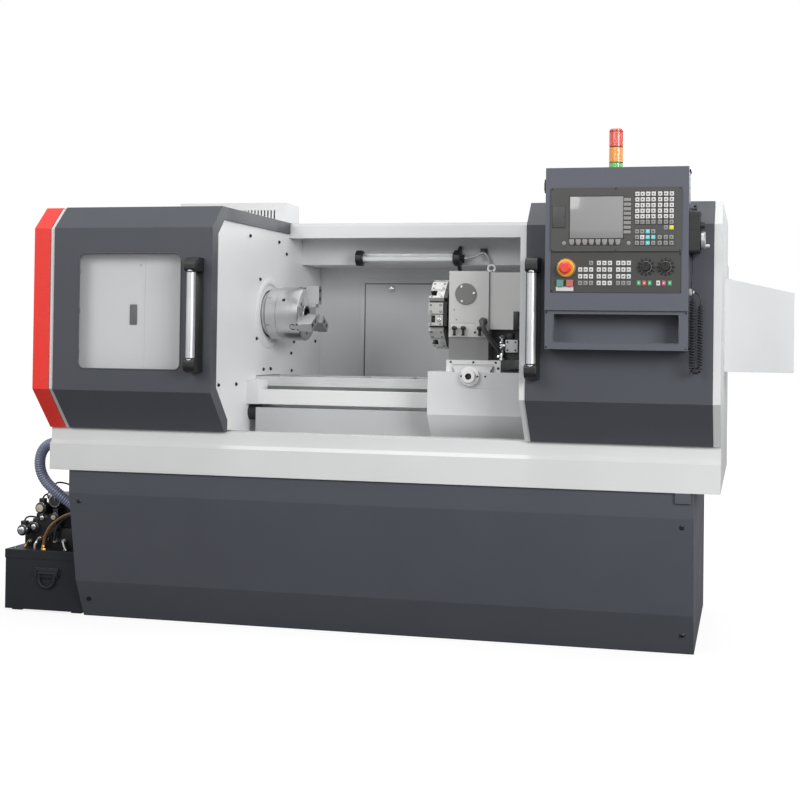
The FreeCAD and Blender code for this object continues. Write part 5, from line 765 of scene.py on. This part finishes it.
def make_pendant_fittings():
    """The dial's graduated ring, and the screws and hanger of the shell."""
    dial = Piece("pendant_dial_ring", "satin")
    x, y, z = 1138.4, -629, 1342
    dial.lathe((x, y, z), (1, 0, 0), [(0, 26.4), (1.2, 26.4), (2.4, 24), (2.4, 15), (1, 13), (1, 0)], 64)
    for index in range(20):
        turn = about((x, y, z), "X", 18 * index)
        dial.use("black").block((x + 2.2, y - 0.5, z + 18), (x + 2.7, y + 0.5, z + 23), 0.05, turn)
    dial.done("pendant_dial")
    shell = Piece("pendant_shell_fittings", "black")
    for low in (1310, 1372, 1412):
        shell.block((1094, -668.6, low), (1124, -667.4, low + 1.6), 0.3)
    shell.use("black_steel")
    for corner_y in (-660, -598):
        for corner_z in (1309, 1422):
            shell.cap_screw((1125, corner_y, corner_z), (1, 0, 0), 2.6, 1.4)
    shell.use("rubber").lathe((1108, -629, 1429.6), (0, 0, 1), [(0, 0), (0, 7), (5, 7), (8, 4.6), (18, 4.2), (20, 2), (20, 0)], 24)
    shell.done("right_door")


def make_box_fittings():
    parts = Piece("control_box_fittings", "black_steel")
    for x in (656.5, 1086.5):
        for z in (1009, 1116):
            parts.cap_screw((x, BOX_FRONT + 8.2, z), (0, -1, 0), 3, 2)
    parts.use("black").block((645.6, -664, 1489), (651.6, -640, 1531), 1.2)
    parts.block((643.8, -660, 1497), (646.6, -644, 1523), 0.8)
    parts.use("black_steel").cap_screw((1092, -640, 1555), (1, 0, 0), 5, 3.4)
    parts.cap_screw((1092, -640, 1010), (1, 0, 0), 5, 3.4)
    parts.cap_screw((1092, -596, 1555), (1, 0, 0), 5, 3.4)
    parts.use("box")
    for low, high in (((677, 1024), (679, 1112)), ((1064, 1024), (1066, 1112))):
        parts.block((low[0], BOX_FRONT + 7.2, low[1]), (high[0], BOX_FRONT + 9, high[1]), 0.5)
    for z in (1023, 1111.4):
        parts.block((677, BOX_FRONT + 7.2, z), (1066, BOX_FRONT + 9, z + 1.6), 0.5)
    parts.done("right_door")


# ---------------------------------------------------------------- signal tower, lamp

def make_tower():
    x, y = 843, -430
    tower = Piece("signal_stack", "black")
    tower.lathe((x, y, 1476), (0, 0, 1), [(0, 0), (0, 32), (5, 32), (8, 28), (10, 22.2), (84.8, 22.2), (84.8, 0)], 48)
    for index, finish in enumerate(("green_lens", "amber_lens", "red_lens")):
        low = 1561 + 51 * index
        tower.use(finish).lathe((x, y, low), (0, 0, 1), [(0, 0), (0, 22.4), (1.2, 23.8), (47.6, 23.8), (48.8, 22.6), (48.8, 0)], 64)
        tower.use("black").lathe((x, y, low + 48.8), (0, 0, 1), [(0, 0), (0, 22.6), (2.2, 22.6), (2.2, 0)], 48)
    tower.use("red_lens").lathe((x, y, 1714), (0, 0, 1), [(0, 0), (0, 23.8), (5, 23.4), (8.6, 20), (10, 14), (10, 0)], 48)
    tower.use("black_steel")
    for index in range(3):
        tower.cap_screw((x, y - 27, 1481), (0, 0, 1), 2.6, 4.4, about((x, y, 0), "Z", 120 * index + 60))
    tower.done("right_door", ["signal_tower"])


def make_lamp():
    y, z = 247, 1343
    left, right = -258, 167
    lamp = Piece("tube_lamp", "tube")
    lamp.lathe((left + 20, y, z), (1, 0, 0), [(0, 0), (0, 23), (385, 23), (385, 0)], 48)
    glass = lamp.done("frame", ["work_lamp"])
    inside = Piece("tube_lamp_inside", "glow")
    inside.lathe((left + 24, y - 4, z - 4), (1, 0, 0), [(0, 0), (0, 8), (377, 8), (377, 0)], 24)
    inside.use("zinc").block((left + 24, y + 3, z + 2), (right - 24, y + 12, z + 18), 1.5)
    inside.done("frame")
    caps = Piece("tube_lamp_caps", "black")
    for start, way in ((left, 1), (right, -1)):
        for index in range(8):
            turn = about((0, y, z), "X", 45 * index)
            caps.prism("X", min(start, start + way * 24), max(start, start + way * 24),
                       [(y - 12.2, z + 20), (y + 12.2, z + 20), (y + 10.6, z + 30.4), (y - 10.6, z + 30.4)], 0.8, turn)
        caps.lathe((start, y, z), (way, 0, 0), [(-2, 0), (-2, 16), (2, 24), (22, 28), (28, 24.6), (30, 23.2)], 40)
        low = start + way * 4
        caps.block((min(low, low + way * 16), y + 18, z - 9), (max(low, low + way * 16), 299, z + 9), 1.2)
        caps.block((min(low - way * 6, low + way * 22), 295.4, z - 16), (max(low - way * 6, low + way * 22), 298.8, z + 16), 0.8)
    clamp = [(y - 6, z + 27), (y + 14, z + 27), (y + 44, z + 50), (y + 51, z + 50), (y + 51, z + 34), (y + 30, z + 18)]
    caps.prism("X", right - 20, right - 8, clamp, 0.8)
    caps.prism("X", right - 20, right - 8, [(clamp_y, 2 * z - clamp_z) for clamp_y, clamp_z in clamp], 0.8)
    caps.done("frame")

    def corrugated(distance):
        return 5.0 + 0.6 * math.sin(distance * 1.9)
    cable = Piece("lamp_cable", "satin")
    lead = smooth_line([(172, 247, 1343), (194, 247, 1342), (218, 248, 1348), (238, 256, 1360), (252, 270, 1366),
                        (264, 280, 1356), (272, 286, 1338), (278, 290, 1322)])
    marks = lengths(lead)
    steps = int(marks[-1] / 0.8)
    cable.sweep([walk(lead, marks[-1] * index / steps, marks)[0] for index in range(steps + 1)], corrugated, 14)
    cable.use("black").lathe((168, 247, 1343), (1, 0, 0), [(0, 0), (0, 10), (8, 10), (8, 7), (14, 5)], 20)
    cable.block((236, 282, 1362), (262, 298.8, 1384), 2.4)
    cable.lathe((278, 290, 1324), (0, 0, -1), [(0, 0), (0, 6.4), (7, 6.4), (9, 4), (9, 0)], 20)
    cable.done("frame")


# ---------------------------------------------------------------- guards and doors

BULKHEAD_BOLTS = [(-144, 1240), (-171, 1020), (-502, 860), (-352, 858), (-100, 905), (-30, 905), (191, 893),
                  (185, 962), (213, 1007), (462, 1009), (-243, 1394), (40, 1392), (120, 1351), (191, 827)]


def make_bolts():
    bolts = Piece("cover_bolts", "black_steel")
    for y, z in BULKHEAD_BOLTS:
        bolts.lathe((-508, y, z), (1, 0, 0), [(-0.2, 7), (0.7, 7), (0.7, 0)], 28)
        bolts.cap_screw((-507.4, y, z), (1, 0, 0), 5.6, 4.6)
    for x in (-1061, 1069):
        for z, y, lean in ((433, -442.1, 10), (69, -361, 23.6)):
            turn = about((x, y, z), "X", lean)
            bolts.lathe((x, y, z), (0, -1, 0), [(-0.4, 8.4), (1, 8.4), (1, 0)], 28, turn)
            bolts.cap_screw((x, y - 0.8, z), (0, -1, 0), 6.2, 4.2, turn)
    bolts.done("frame", ["casing_bolts"])


def make_window():
    """The rounded lip round the window and the clips that hold its pane."""
    left, right, foot, head, corner = -996, -616, 911, 1308, 22

    def loop(grow, y, count=9):
        ring = []
        for middle_x, middle_z, start in ((right - corner, head - corner, 0), (left + corner, head - corner, 90),
                                          (left + corner, foot + corner, 180), (right - corner, foot + corner, 270)):
            for index in range(count):
                angle = math.radians(start + 90 * index / (count - 1))
                ring.append((middle_x + (corner + grow) * math.cos(angle), y,
                             middle_z + (corner + grow) * math.sin(angle)))
        return ring
    lip = Piece("window_lip", "door")
    rings = [loop(3.4, -576.9), loop(2.4, -577.9), loop(0.4, -578.3), loop(-1.6, -577.6), loop(-2.2, -575.2)]
    count = len(rings[0])
    points = [point for ring in rings for point in ring]
    faces = [(a * count + i, a * count + (i + 1) % count, (a + 1) * count + (i + 1) % count, (a + 1) * count + i)
             for a in range(len(rings) - 1) for i in range(count)]
    last = (len(rings) - 1) * count
    faces += [(last + i, last + (i + 1) % count, (i + 1) % count, i) for i in range(count)]
    lip.solid(points, faces, 0)
    lip.done("left_door", sharp=60)
    clips = Piece("window_clips", "zinc")
    for x in (left - 22, right + 22):
        for z in (foot + 60, (foot + head) / 2, head - 60):
            inner = x + (16 if x < left else -16)
            clips.block((min(x - 7, inner - 7), -568.8, z - 9), (max(x + 7, inner + 7), -566.6, z + 9), 0.6)
            clips.cap_screw((x, -567, z), (0, 1, 0), 3.4, 2.6)
    clips.done("left_door")


def make_handles():
    """A satin bar between two moulded feet on each door."""
    for body, x in (("left_door", -552), ("right_door", 603)):
        y = -632
        grip = Piece(f"{body}_grip", "satin")
        grip.lathe((x, y, 940), (0, 0, 1), [(0, 0), (0, 15), (316, 15), (316, 0)], 48)
        grip.use("black").block((x - 20, -579.8, 906), (x + 20, -577.1, 1290), 0.8)
        for low, high, way in ((904, 952, 1), (1244, 1292, -1)):
            foot, top = (low, high) if way > 0 else (high, low)
            outline = [(y - 17, foot + 20 * way), (y - 9, foot + 7 * way), (y + 8, foot), (-577.1, foot), (-577.1, top),
                       (y - 11, top), (y - 17, top - 8 * way)]
            grip.prism("X", x - 20.6, x + 20.6, outline, 3.2, None, 3)
            grip.lathe((x, y, top - 0.4 * way), (0, 0, way), [(0, 17.4), (2.2, 17.4), (3.4, 15.6), (3.4, 15)], 40)
            grip.cap_screw((x, y - 17, foot + 28 * way), (0, -1, 0), 4.0, 1.0)
        grip.done(body, [f"{body.split('_')[0]}_handle"])


def make_guards():
    trims = Piece("door_rail", "zinc")
    trims.block((-1108, -438.4, 692.2), (1163, -436.2, 696.2), 0.4)
    trims.block((-1108, -396.6, 694.8), (1163, -394.6, 697), 0.4)
    trims.done("frame")
    cover = Piece("headstock_cover_fittings", "black")
    cover.block((-829.6, -527.8, 1063), (-802, -526.2, 1134), 0.6)
    cover.use("zinc")
    for x, z in ((-1040, 900), (-1040, 1270), (-790, 900), (-790, 1270)):
        cover.cap_screw((x, -527.2, z), (0, -1, 0), 3.2, 1.8)
    cover.done("frame")


def make_hatch():
    """The frame strip, seal and turn locks of the rear hatch."""
    left, right, low, high = -312, 248, 800, 1255

    def border(piece, grow, wide, front, back):
        a, b, c, d = left - grow, right + grow, low - grow, high + grow
        for first, last in (((a, c), (a + wide, d)), ((b - wide, c), (b, d)),
                            ((a + wide, c), (b - wide, c + wide)), ((a + wide, d - wide), (b - wide, d))):
            piece.block((first[0], front, first[1]), (last[0], back, last[1]), 0.4)
    hatch = Piece("rear_hatch_trim", "rubber")
    border(hatch, -1, 2.4, 524.8, 526.4)
    hatch.use("chrome")
    for z in (1233, 848):
        hatch.lathe((-195, 518.4, z), (0, -1, 0), [(0, 11.6), (1.4, 11.6), (2.2, 10.4), (2.2, 0)], 36)
        hatch.block((-197, 515, z - 8), (-193, 516.6, z + 8), 0.4)
    hatch.done("rear_hatch")
    surround = Piece("rear_hatch_surround", "inner")
    border(surround, 22, 21, 524.2, 526.1)
    surround.done("frame")


# ---------------------------------------------------------------- chuck and turret

def make_chuck():
    face = -358
    y, z = AXIS
    chuck = Piece("chuck_fittings", "black_steel")
    for index in range(3):
        turn = about((0, y, z), "X", 120 * index + 60)
        chuck.use("black_steel").cap_screw((face - 5.4, y, z + 70), (1, 0, 0), 8, 6.2, turn)
        chuck.use("black").block((-419 - 5.3, y - 5.3, z + 83), (-419 + 5.3, y + 5.3, z + 84.4), 0.1, turn)
        turn = about((0, y, z), "X", 120 * index)
        pocket = [(0, 12.4), (1.2, 12.4), (1.6, 11.4), (1.6, 10), (-0.4, 9.4), (-0.4, 0)]
        chuck.use("black_steel").lathe((face - 23, y, z + 99.2), (0, 0, 1), pocket, 32, turn)
        # Painted shade: a thin black plate over each jaw slot's opening on the rim stands for the dark inside of the
        # slot.
        chuck.block((face - 9, y - 13.4, z + 98.4), (face + 0.2, y + 13.4, z + 99.7), 0.3, turn)
    ring = [(0, 30.2), (0, 34), (1.4, 36), (1.4, 38.5), (0, 39), (0, 30.2)]
    chuck.use("turned").lathe((face - 0.4, y, z), (1, 0, 0), ring, 64)
    chuck.use("steel")
    for index in range(4):
        chuck.cap_screw((-492.2, y, z + 74), (-1, 0, 0), 5.4, 5, about((0, y, z), "X", 90 * index + 45))
    chuck.done("spindle")
    collar = Piece("spindle_collar", "inner")
    collar.lathe((-508, y, z), (1, 0, 0), [(-0.2, 134), (2.4, 131), (5.6, 124), (6.6, 118), (5.6, 112), (1.4, 107.6), (-0.2, 107)], 96)
    collar.block((-508, -253, 783), (-462, -167, 872), 2)
    collar.done("frame")
    for number, angle in ((1, 0), (2, 120), (3, 240)):
        turn = about((0, y, z), "X", angle)
        jaw = Piece(f"jaw_{number}_bolts", "black_steel")
        for radius in (57, 87.4):
            jaw.cap_screw((-315.2, y, z + radius), (1, 0, 0), 7.6, 7.4, turn)
        jaw.use("jaw")
        for groove in range(6):
            low = -341 + 3.6 * groove
            jaw.block((low, y - 14.6, z + 24.6), (low + 1.7, y + 14.6, z + 25.4), 0.2, turn)
        for groove in range(3):
            low = -317 + 3.6 * groove
            jaw.block((low, y - 14.6, z + 36.6), (low + 1.7, y + 14.6, z + 37.4), 0.2, turn)
        jaw.done(f"jaw_{number}")


def make_turret_disc():
    """Screws, clamps and coolant nozzles at each of the eight stations; the black plates in each tool slot are painted
    shade.
    """
    y, z = -172, 1114
    flat, rim = 104.03, 121.03
    left, right = 179, 245
    disc = Piece("turret_disc_fittings", "black_steel")
    for index in range(8):
        turn = about((0, y, z), "X", 45 * index)
        disc.use("black_steel")
        for x in (left + 9, right - 22):
            for off in (9, 31.5):
                disc.cap_screw((x, y + off, z + rim - 2), (0, 0, 1), 4.2, 2.6, turn)
            disc.cap_screw((x, y - 35, z + rim - 2), (0, 0, 1), 3.6, 2.6, turn)
        disc.cap_screw((right - 27, y - 6.4, z + rim - 2), (0, 0, 1), 2.6, 2.4, turn)
        nozzle = [(0, 7.2), (1.4, 7.2), (2.4, 5.6), (2.4, 3.2), (0.4, 2.6), (0.4, 0)]
        disc.use("steel").lathe((right - 27, y - 20, z + rim - 0.4), (0, 0, 1), nozzle, 32, turn)
        # Painted shade: black plates line each tool slot, standing for the dark inside of the pocket.
        disc.use("black").block((left + 0.4, y - 29.3, z + flat - 24.8), (left + 24.8, y - 4.7, z + flat - 23.6), 0.3, turn)
        disc.block((left + 23.6, y - 29.4, z + flat - 24), (left + 24.8, y - 4.6, z + rim - 0.6), 0.2, turn)
        for off in (-29.3, -5.3):
            disc.block((left + 0.6, y + off, z + flat - 24), (left + 24.6, y + off + 0.6, z + rim - 0.6), 0.1, turn)
        disc.use("steel").cap_screw((left - 0.2, y + 21, z + 92), (-1, 0, 0), 4.4, 3, turn)
        disc.cap_screw((left - 0.2, y, z + 52), (-1, 0, 0), 3.6, 2.4, turn)
    plate = [(0, 62), (1.6, 60), (2.4, 58), (2.4, 34), (5.6, 30.8), (6.4, 29.4), (6.4, 9), (3, 8), (3, 0)]
    disc.use("disc").lathe((left + 0.2, y, z), (-1, 0, 0), plate, 56)
    disc.done("turret")


def make_turret_head():
    front = -293
    head = Piece("turret_head_fittings", "cover_grey")
    cap_x, cap_z = 313, 1185
    head.lathe((cap_x, front - 2.9, cap_z), (0, -1, 0), [(0, 37.6), (1, 37.6), (1.6, 36.8), (1.6, 0)], 56)
    head.use("chrome")
    for angle in (-31, 85, 207):
        turn = about((cap_x, front, cap_z), "Y", angle)
        head.cap_screw((cap_x, front - 4.3, cap_z + 29), (0, -1, 0), 4.0, 2.2, turn)
    head.use("key_grey")
    for x, z in ((272, 1130), (280, 1096)):
        head.cap_screw((x, front + 0.1, z), (0, -1, 0), 2.6, 1.2)
    head.use("head").block((258.6, front - 1.2, 1036), (366, front + 0.4, 1083), 0.4)
    head.use("cover_grey").block((257.8, front - 0.9, 1082.6), (350, front + 0.4, 1084.2), 0.2)
    head.block((257.4, front - 0.9, 1058), (258.8, front + 0.4, 1084), 0.2)
    head.use("black")
    for x in (277, 308, 366):
        cup = [(0, 0), (0, 7), (4, 7), (4, 5.2), (12, 5.2), (16, 8), (22, 8), (24, 5), (24, 0)]
        head.lathe((x, front - 1.2, 1066), (0, -1, 0), cup, 20)
        head.rod((x, front - 15, 1064), (0, 0, -1), 4.8, 20, 0.8, 18)
        head.use("rubber").hex_nut((x, front - 15, 1046), (0, 0, -1), 6.6, 6).use("black")
    head.cap_screw((347, front - 1.0, 1052), (0, -1, 0), 4, 2.4)
    head.use("lead").hex_nut((376, front - 1, 1090), (0, -1, 0), 15.5, 8)
    head.lathe((376, front - 9, 1090), (0, -1, 0), [(0, 0), (0, 13), (8, 12), (14, 10), (14, 0)], 28)
    head.sweep(smooth_line([(376, front - 18, 1090), (378, front - 40, 1084), (390, front - 38, 1056), (408, front - 20, 1024),
                            (424, front + 8, 998), (433, front + 40, 976), (437, front + 60, 958)]), 8.6, 18)
    head.use("steel").hex_nut((388, -230, 1263.8), (0, 0, 1), 7, 4)
    head.use("cover_grey").block((393.5, -290, 1066), (394.5, -56, 1262), 0.2)
    head.done("cross_slide")

    block = Piece("coolant_manifold", "inner")
    block.block((448, -264, 984), (492, -243.6, 1028), 2)
    for x, z in ((456, 992), (484, 992), (456, 1020), (484, 1020)):
        block.use("black_steel").cap_screw((x, -264.2, z), (0, -1, 0), 3, 2)
    block.use("black").block((452, -262, 1028), (474, -246, 1050), 2)
    block.block((480, -291, 1063), (499, -283.6, 1126), 1.2)
    block.use("chrome").rod((437, -264, 958), (0, 0, 1), 5, 84, 0.6, 24)
    for low, radius, height in ((958, 9.5, 7), (974, 8.5, 9), (990, 10, 12), (1014, 8.5, 8), (1032, 9.5, 10)):
        block.hex_nut((437, -264, low), (0, 0, 1), radius, height)
    block.rod((430, -264, 1008), (1, 0, 0), 5, 19, 0.6, 20).hex_nut((426, -264, 966), (0, 0, 1), 7, 8)
    block.done("cross_slide")

    slide = Piece("cross_slide_fittings", "black_steel")
    for x in (275, 354, 432):
        slide.cap_screw((x, -346, 950), (0, -1, 0), 3.8, 2.2)
    slide.cap_screw((441, -346, 930), (0, -1, 0), 4.2, 2.2)
    slide.done("cross_slide")

    saddle = Piece("saddle_fittings", "bright")
    cx, cz = 350, 903
    saddle.lathe((cx, -386, cz), (0, -1, 0), [(0, 33.6), (1.2, 33.4), (1.6, 31), (1.8, 23)], 56)
    saddle.use("black_steel")
    for angle in (-90, 90):
        saddle.cap_screw((cx, -387.4, cz + 28), (0, -1, 0), 3.4, 1.8, about((cx, 0, cz), "Y", angle))
    saddle.use("bright").lathe((cx, -404.2, cz), (0, -1, 0), [(0, 22.2), (1.2, 21), (1.4, 11)], 48)
    socket = [(-12, 0), (-12, 9.8), (1, 10.6), (1.4, 9.9), (-8, 7.4), (-8, 0)]
    saddle.use("black").lathe((cx, -404.6, cz), (0, -1, 0), socket, 32)
    saddle.use("black_steel").cap_screw((402, -374, 903), (0, -1, 0), 3.2, 1.6)
    saddle.use("rubber").block((452, -366, 916.4), (558, 100, 921), 0.6)
    saddle.done("carriage")


# ---------------------------------------------------------------- hydraulics

def make_hydraulics():
    """Solenoid valves, gauges and pipes on the tank lid."""
    unit = Piece("hydraulic_group", "black_steel")
    top = 227
    unit.block((-1393, -250, top), (-1331, -170, top + 88), 2)
    unit.block((-1333, -272, top), (-1251, -130, top + 128), 2)
    unit.block((-1251, -300, top), (-1158, -200, top + 80), 2)
    unit.block((-1303, -242, top + 60), (-1173, -142, top + 196), 3)
    coils = ((-1370, 294, 20, -311, "chrome"), (-1335, 305, 17, -287, "chrome"), (-1299, 379, 21, -305, "cream"),
             (-1305, 339, 15, -279, "chrome"), (-1251, 345, 16, -291, "cream"), (-1273, 423, 18, -275, "chrome"))
    for x, z, radius, front, cap in coils:
        unit.use("black").lathe((x, front + 2, z), (0, 1, 0), [(0, radius - 4), (2, radius), (34, radius), (36, radius - 3), (36, 12), (66, 12)], 36)
        unit.lathe((x, front + 2, z), (0, -1, 0), [(0, radius - 4), (2, radius - 7)], 36)
        unit.use(cap).lathe((x, front + 3, z), (0, -1, 0), [(0, radius - 7), (5, radius - 7), (6, radius - 9), (6, 4), (8, 3), (8, 0)], 28)
        unit.use("chrome").lathe((x, front + 8, z), (0, -1, 0), [(0, radius + 0.4), (3, radius + 0.4), (3, radius - 2)], 36)
        unit.use("black").block((x - 11, front + 12, z + radius - 4), (x + 11, front + 32, z + radius + 14), 2)
        unit.use("rubber").sweep(smooth_line([(x, front + 22, z + radius + 12), (x, front + 24, z + radius + 24),
                                              (x + 16, front + 44, z + radius + 30), (x + 36, front + 80, z + radius + 14)]), 3.2, 10)
    unit.use("chrome").lathe((-1251, -262, 405), (0, -1, 0), [(0, 10), (4, 10), (6, 24), (22, 24), (24, 22), (24, 20)], 40)
    unit.use("bezel_dark").lathe((-1251, -285, 405), (0, -1, 0), [(0, 20.6), (0.2, 20.6), (0.2, 0)], 40)
    unit.use("chrome").block((-1252, -286.6, 405), (-1250, -285.6, 421), 0.2)
    unit.use("zinc")
    for x, y, z in ((-1312, -272, 262), (-1282, -272, 262), (-1230, -300, 262), (-1196, -300, 262), (-1366, -250, 246)):
        unit.hex_nut((x, y, z), (0, -1, 0), 9, 10)
        unit.lathe((x, y - 10, z), (0, -1, 0), [(0, 6), (7, 6), (7, 0)], 20)
    for points, radius, finish in (
            ([(-1312, -286, 262), (-1312, -300, 256), (-1318, -304, 240), (-1318, -304, 229)], 5, "zinc"),
            ([(-1282, -286, 262), (-1282, -304, 262), (-1262, -312, 276), (-1240, -308, 300), (-1212, -300, 316)], 5.5, "rubber"),
            ([(-1230, -314, 262), (-1230, -318, 290), (-1214, -316, 330), (-1180, -306, 352), (-1130, -290, 362), (-1100, -280, 364)], 5.5, "rubber"),
            ([(-1196, -314, 262), (-1190, -318, 240), (-1180, -318, 229)], 5, "zinc"),
            ([(-1366, -264, 246), (-1366, -280, 240), (-1372, -284, 229)], 4.5, "brass")):
        unit.use(finish).sweep(smooth_line(points), radius, 14)
    unit.use("motor").lathe((-1193, -11, top), (0, 0, 1), [(0, 0), (0, 62), (22, 62), (26, 70)]
                            + [(30 + 14 * i + step, 70 if step < 8 else 65) for i in range(12) for step in (0, 7, 8, 13)]
                            + [(200, 70), (206, 66), (214, 58), (214, 0)], 48)
    unit.block((-1150, -60, top + 70), (-1121, 30, top + 150), 3)
    unit.use("zinc").cap_screw((-1121, -50, top + 80), (1, 0, 0), 3, 2)
    made = unit.done("frame", ["hydraulic_unit"])
    tank = Piece("tank_fittings", "black")
    tank.lathe((-1390, 110, 227), (0, 0, 1), [(0, 0), (0, 30), (6, 30), (8, 26), (26, 26), (30, 22), (30, 0)], 40)
    tank.use("zinc")
    for x in (-1400, -1320, -1200, -1124):
        for y in (-300, 140):
            tank.cap_screw((x, y, 227), (0, 0, 1), 4, 3)
    tank.use("tank").block((-1293, -337, 128), (-1201, -330.6, 165), 1.2)
    tank.done("frame")


# ---------------------------------------------------------------- rear and base

def make_rear():
    rear = Piece("cabinet_fittings", "black")
    rear.block((-1131, 696, 1090), (-1100, 700.8, 1152), 1.6)
    rear.use("chrome").lathe((-1115, 700.4, 1120), (0, 1, 0), [(0, 12), (1, 12), (1.8, 9), (1.8, 0)], 28)
    rear.done("cabinet_door")
    fixed = Piece("rear_conduit", "rubber")
    fixed.sweep(smooth_line([(-900, 600, 641), (-900, 600, 610), (-900, 585, 575), (-900, 545, 548), (-900, 500, 520),
                             (-900, 476, 470), (-900, 466, 440)]), 14, 20)
    fixed.use("zinc").hex_nut((-900, 600, 640), (0, 0, -1), 20, 10)
    fixed.done("frame")


# ---------------------------------------------------------------- camera and light

def make_stage():
    world = bpy.data.worlds.new("studio")
    bpy.context.scene.world = world
    world.use_nodes = True
    nodes, links = world.node_tree.nodes, world.node_tree.links
    plain = nodes["Background"]
    plain.inputs["Color"].default_value = (1, 1, 1, 1)
    plain.inputs["Strength"].default_value = 0.36
    seen = nodes.new("ShaderNodeBackground")
    seen.inputs["Color"].default_value = (1, 1, 1, 1)
    seen.inputs["Strength"].default_value = 1.0
    rays = nodes.new("ShaderNodeLightPath")
    either = nodes.new("ShaderNodeMath")
    either.operation = "MAXIMUM"
    any_of = nodes.new("ShaderNodeMath")
    any_of.operation = "MAXIMUM"
    links.new(rays.outputs["Is Camera Ray"], either.inputs[0])
    links.new(rays.outputs["Is Glossy Ray"], either.inputs[1])
    links.new(either.outputs[0], any_of.inputs[0])
    links.new(rays.outputs["Is Transmission Ray"], any_of.inputs[1])
    mix = nodes.new("ShaderNodeMixShader")
    links.new(any_of.outputs[0], mix.inputs[0])
    links.new(plain.outputs[0], mix.inputs[1])
    links.new(seen.outputs[0], mix.inputs[2])
    links.new(mix.outputs[0], nodes["World Output"].inputs["Surface"])

    data = bpy.data.meshes.new("floor")
    size = 14
    data.from_pydata([(-size, -size, -0.0005), (size, -size, -0.0005), (size, size, -0.0005), (-size, size, -0.0005)],
                     [], [(0, 1, 2, 3)])
    floor = bpy.data.objects.new("floor", data)
    bpy.context.scene.collection.objects.link(floor)
    material = bpy.data.materials.new("floor_white")
    material.use_nodes = True
    nodes, links = material.node_tree.nodes, material.node_tree.links
    nodes.remove(nodes["Principled BSDF"])
    cover = nodes.new("ShaderNodeBsdfDiffuse")
    cover.inputs["Color"].default_value = (0.24, 0.24, 0.24, 1)
    lift = nodes.new("ShaderNodeEmission")
    rays = nodes.new("ShaderNodeLightPath")
    place = nodes.new("ShaderNodeTexCoord")
    apart = nodes.new("ShaderNodeVectorMath")
    apart.operation = "LENGTH"
    links.new(place.outputs["Object"], apart.inputs[0])
    reach = nodes.new("ShaderNodeMapRange")
    for socket, value in (("From Min", 1.8), ("From Max", 5.0), ("To Min", 0.84), ("To Max", 1.0)):
        reach.inputs[socket].default_value = value
    links.new(apart.outputs["Value"], reach.inputs["Value"])
    level = nodes.new("ShaderNodeMath")
    level.operation = "MULTIPLY"
    links.new(reach.outputs["Result"], level.inputs[1])
    links.new(rays.outputs["Is Camera Ray"], level.inputs[0])
    links.new(level.outputs[0], lift.inputs["Strength"])
    both = nodes.new("ShaderNodeAddShader")
    links.new(cover.outputs[0], both.inputs[0])
    links.new(lift.outputs[0], both.inputs[1])
    links.new(both.outputs[0], nodes["Material Output"].inputs["Surface"])
    data.materials.append(material)

    def softbox(name, place, target, width, height, power):
        lamp = bpy.data.lights.new(name, "AREA")
        lamp.shape = "RECTANGLE"
        lamp.size, lamp.size_y, lamp.energy = width, height, power
        made = bpy.data.objects.new(name, lamp)
        made.location = place
        made.rotation_mode = "QUATERNION"
        made.rotation_quaternion = (Vector(target) - Vector(place)).to_track_quat("-Z", "Y")
        bpy.context.scene.collection.objects.link(made)
    softbox("key", (-2.2, -5.0, 3.6), (0, 0, 0.95), 3.0, 2.2, 92)
    softbox("fill", (4.2, -4.2, 2.5), (0, 0, 0.95), 2.4, 2.0, 178)
    softbox("top", (0.2, 0.0, 4.6), (0, 0, 0.8), 3.8, 2.6, 66)
    softbox("rear", (1.5, 5.0, 3.4), (0, 0, 0.9), 3.4, 2.4, 112)


def make_camera():
    """The photograph's viewpoint and off-centre frame, fitted to the corners of the main forms."""
    lens_px, frame_px, sensor = 1249.8, 800, 36
    data = bpy.data.cameras.new("camera")
    data.sensor_width = sensor
    data.lens = lens_px * sensor / frame_px
    data.shift_x, data.shift_y = -0.105, -0.099
    data.clip_end = 100
    camera = bpy.data.objects.new("camera", data)
    yaw, pitch, roll = 12.14, 0.68, 0.73
    camera.matrix_world = (Matrix.Translation((1.285, -4.5094, 1.0413)) @ Matrix.Rotation(math.radians(yaw), 4, "Z")
                           @ Matrix.Rotation(math.radians(90 + pitch), 4, "X")
                           @ Matrix.Rotation(math.radians(roll), 4, "Z"))
    bpy.context.scene.collection.objects.link(camera)
    bpy.context.scene.camera = camera


make_drain_hose()
make_oil_hose()
make_pendant_cord()
make_keys()
make_display()
make_pendant_fittings()
make_box_fittings()
make_tower()
make_lamp()
make_bolts()
make_window()
make_handles()
make_guards()
make_hatch()
make_chuck()
make_turret_disc()
make_turret_head()
make_hydraulics()
make_rear()
make_stage()
make_camera()
bpy.context.scene.view_settings.view_transform = "Standard"
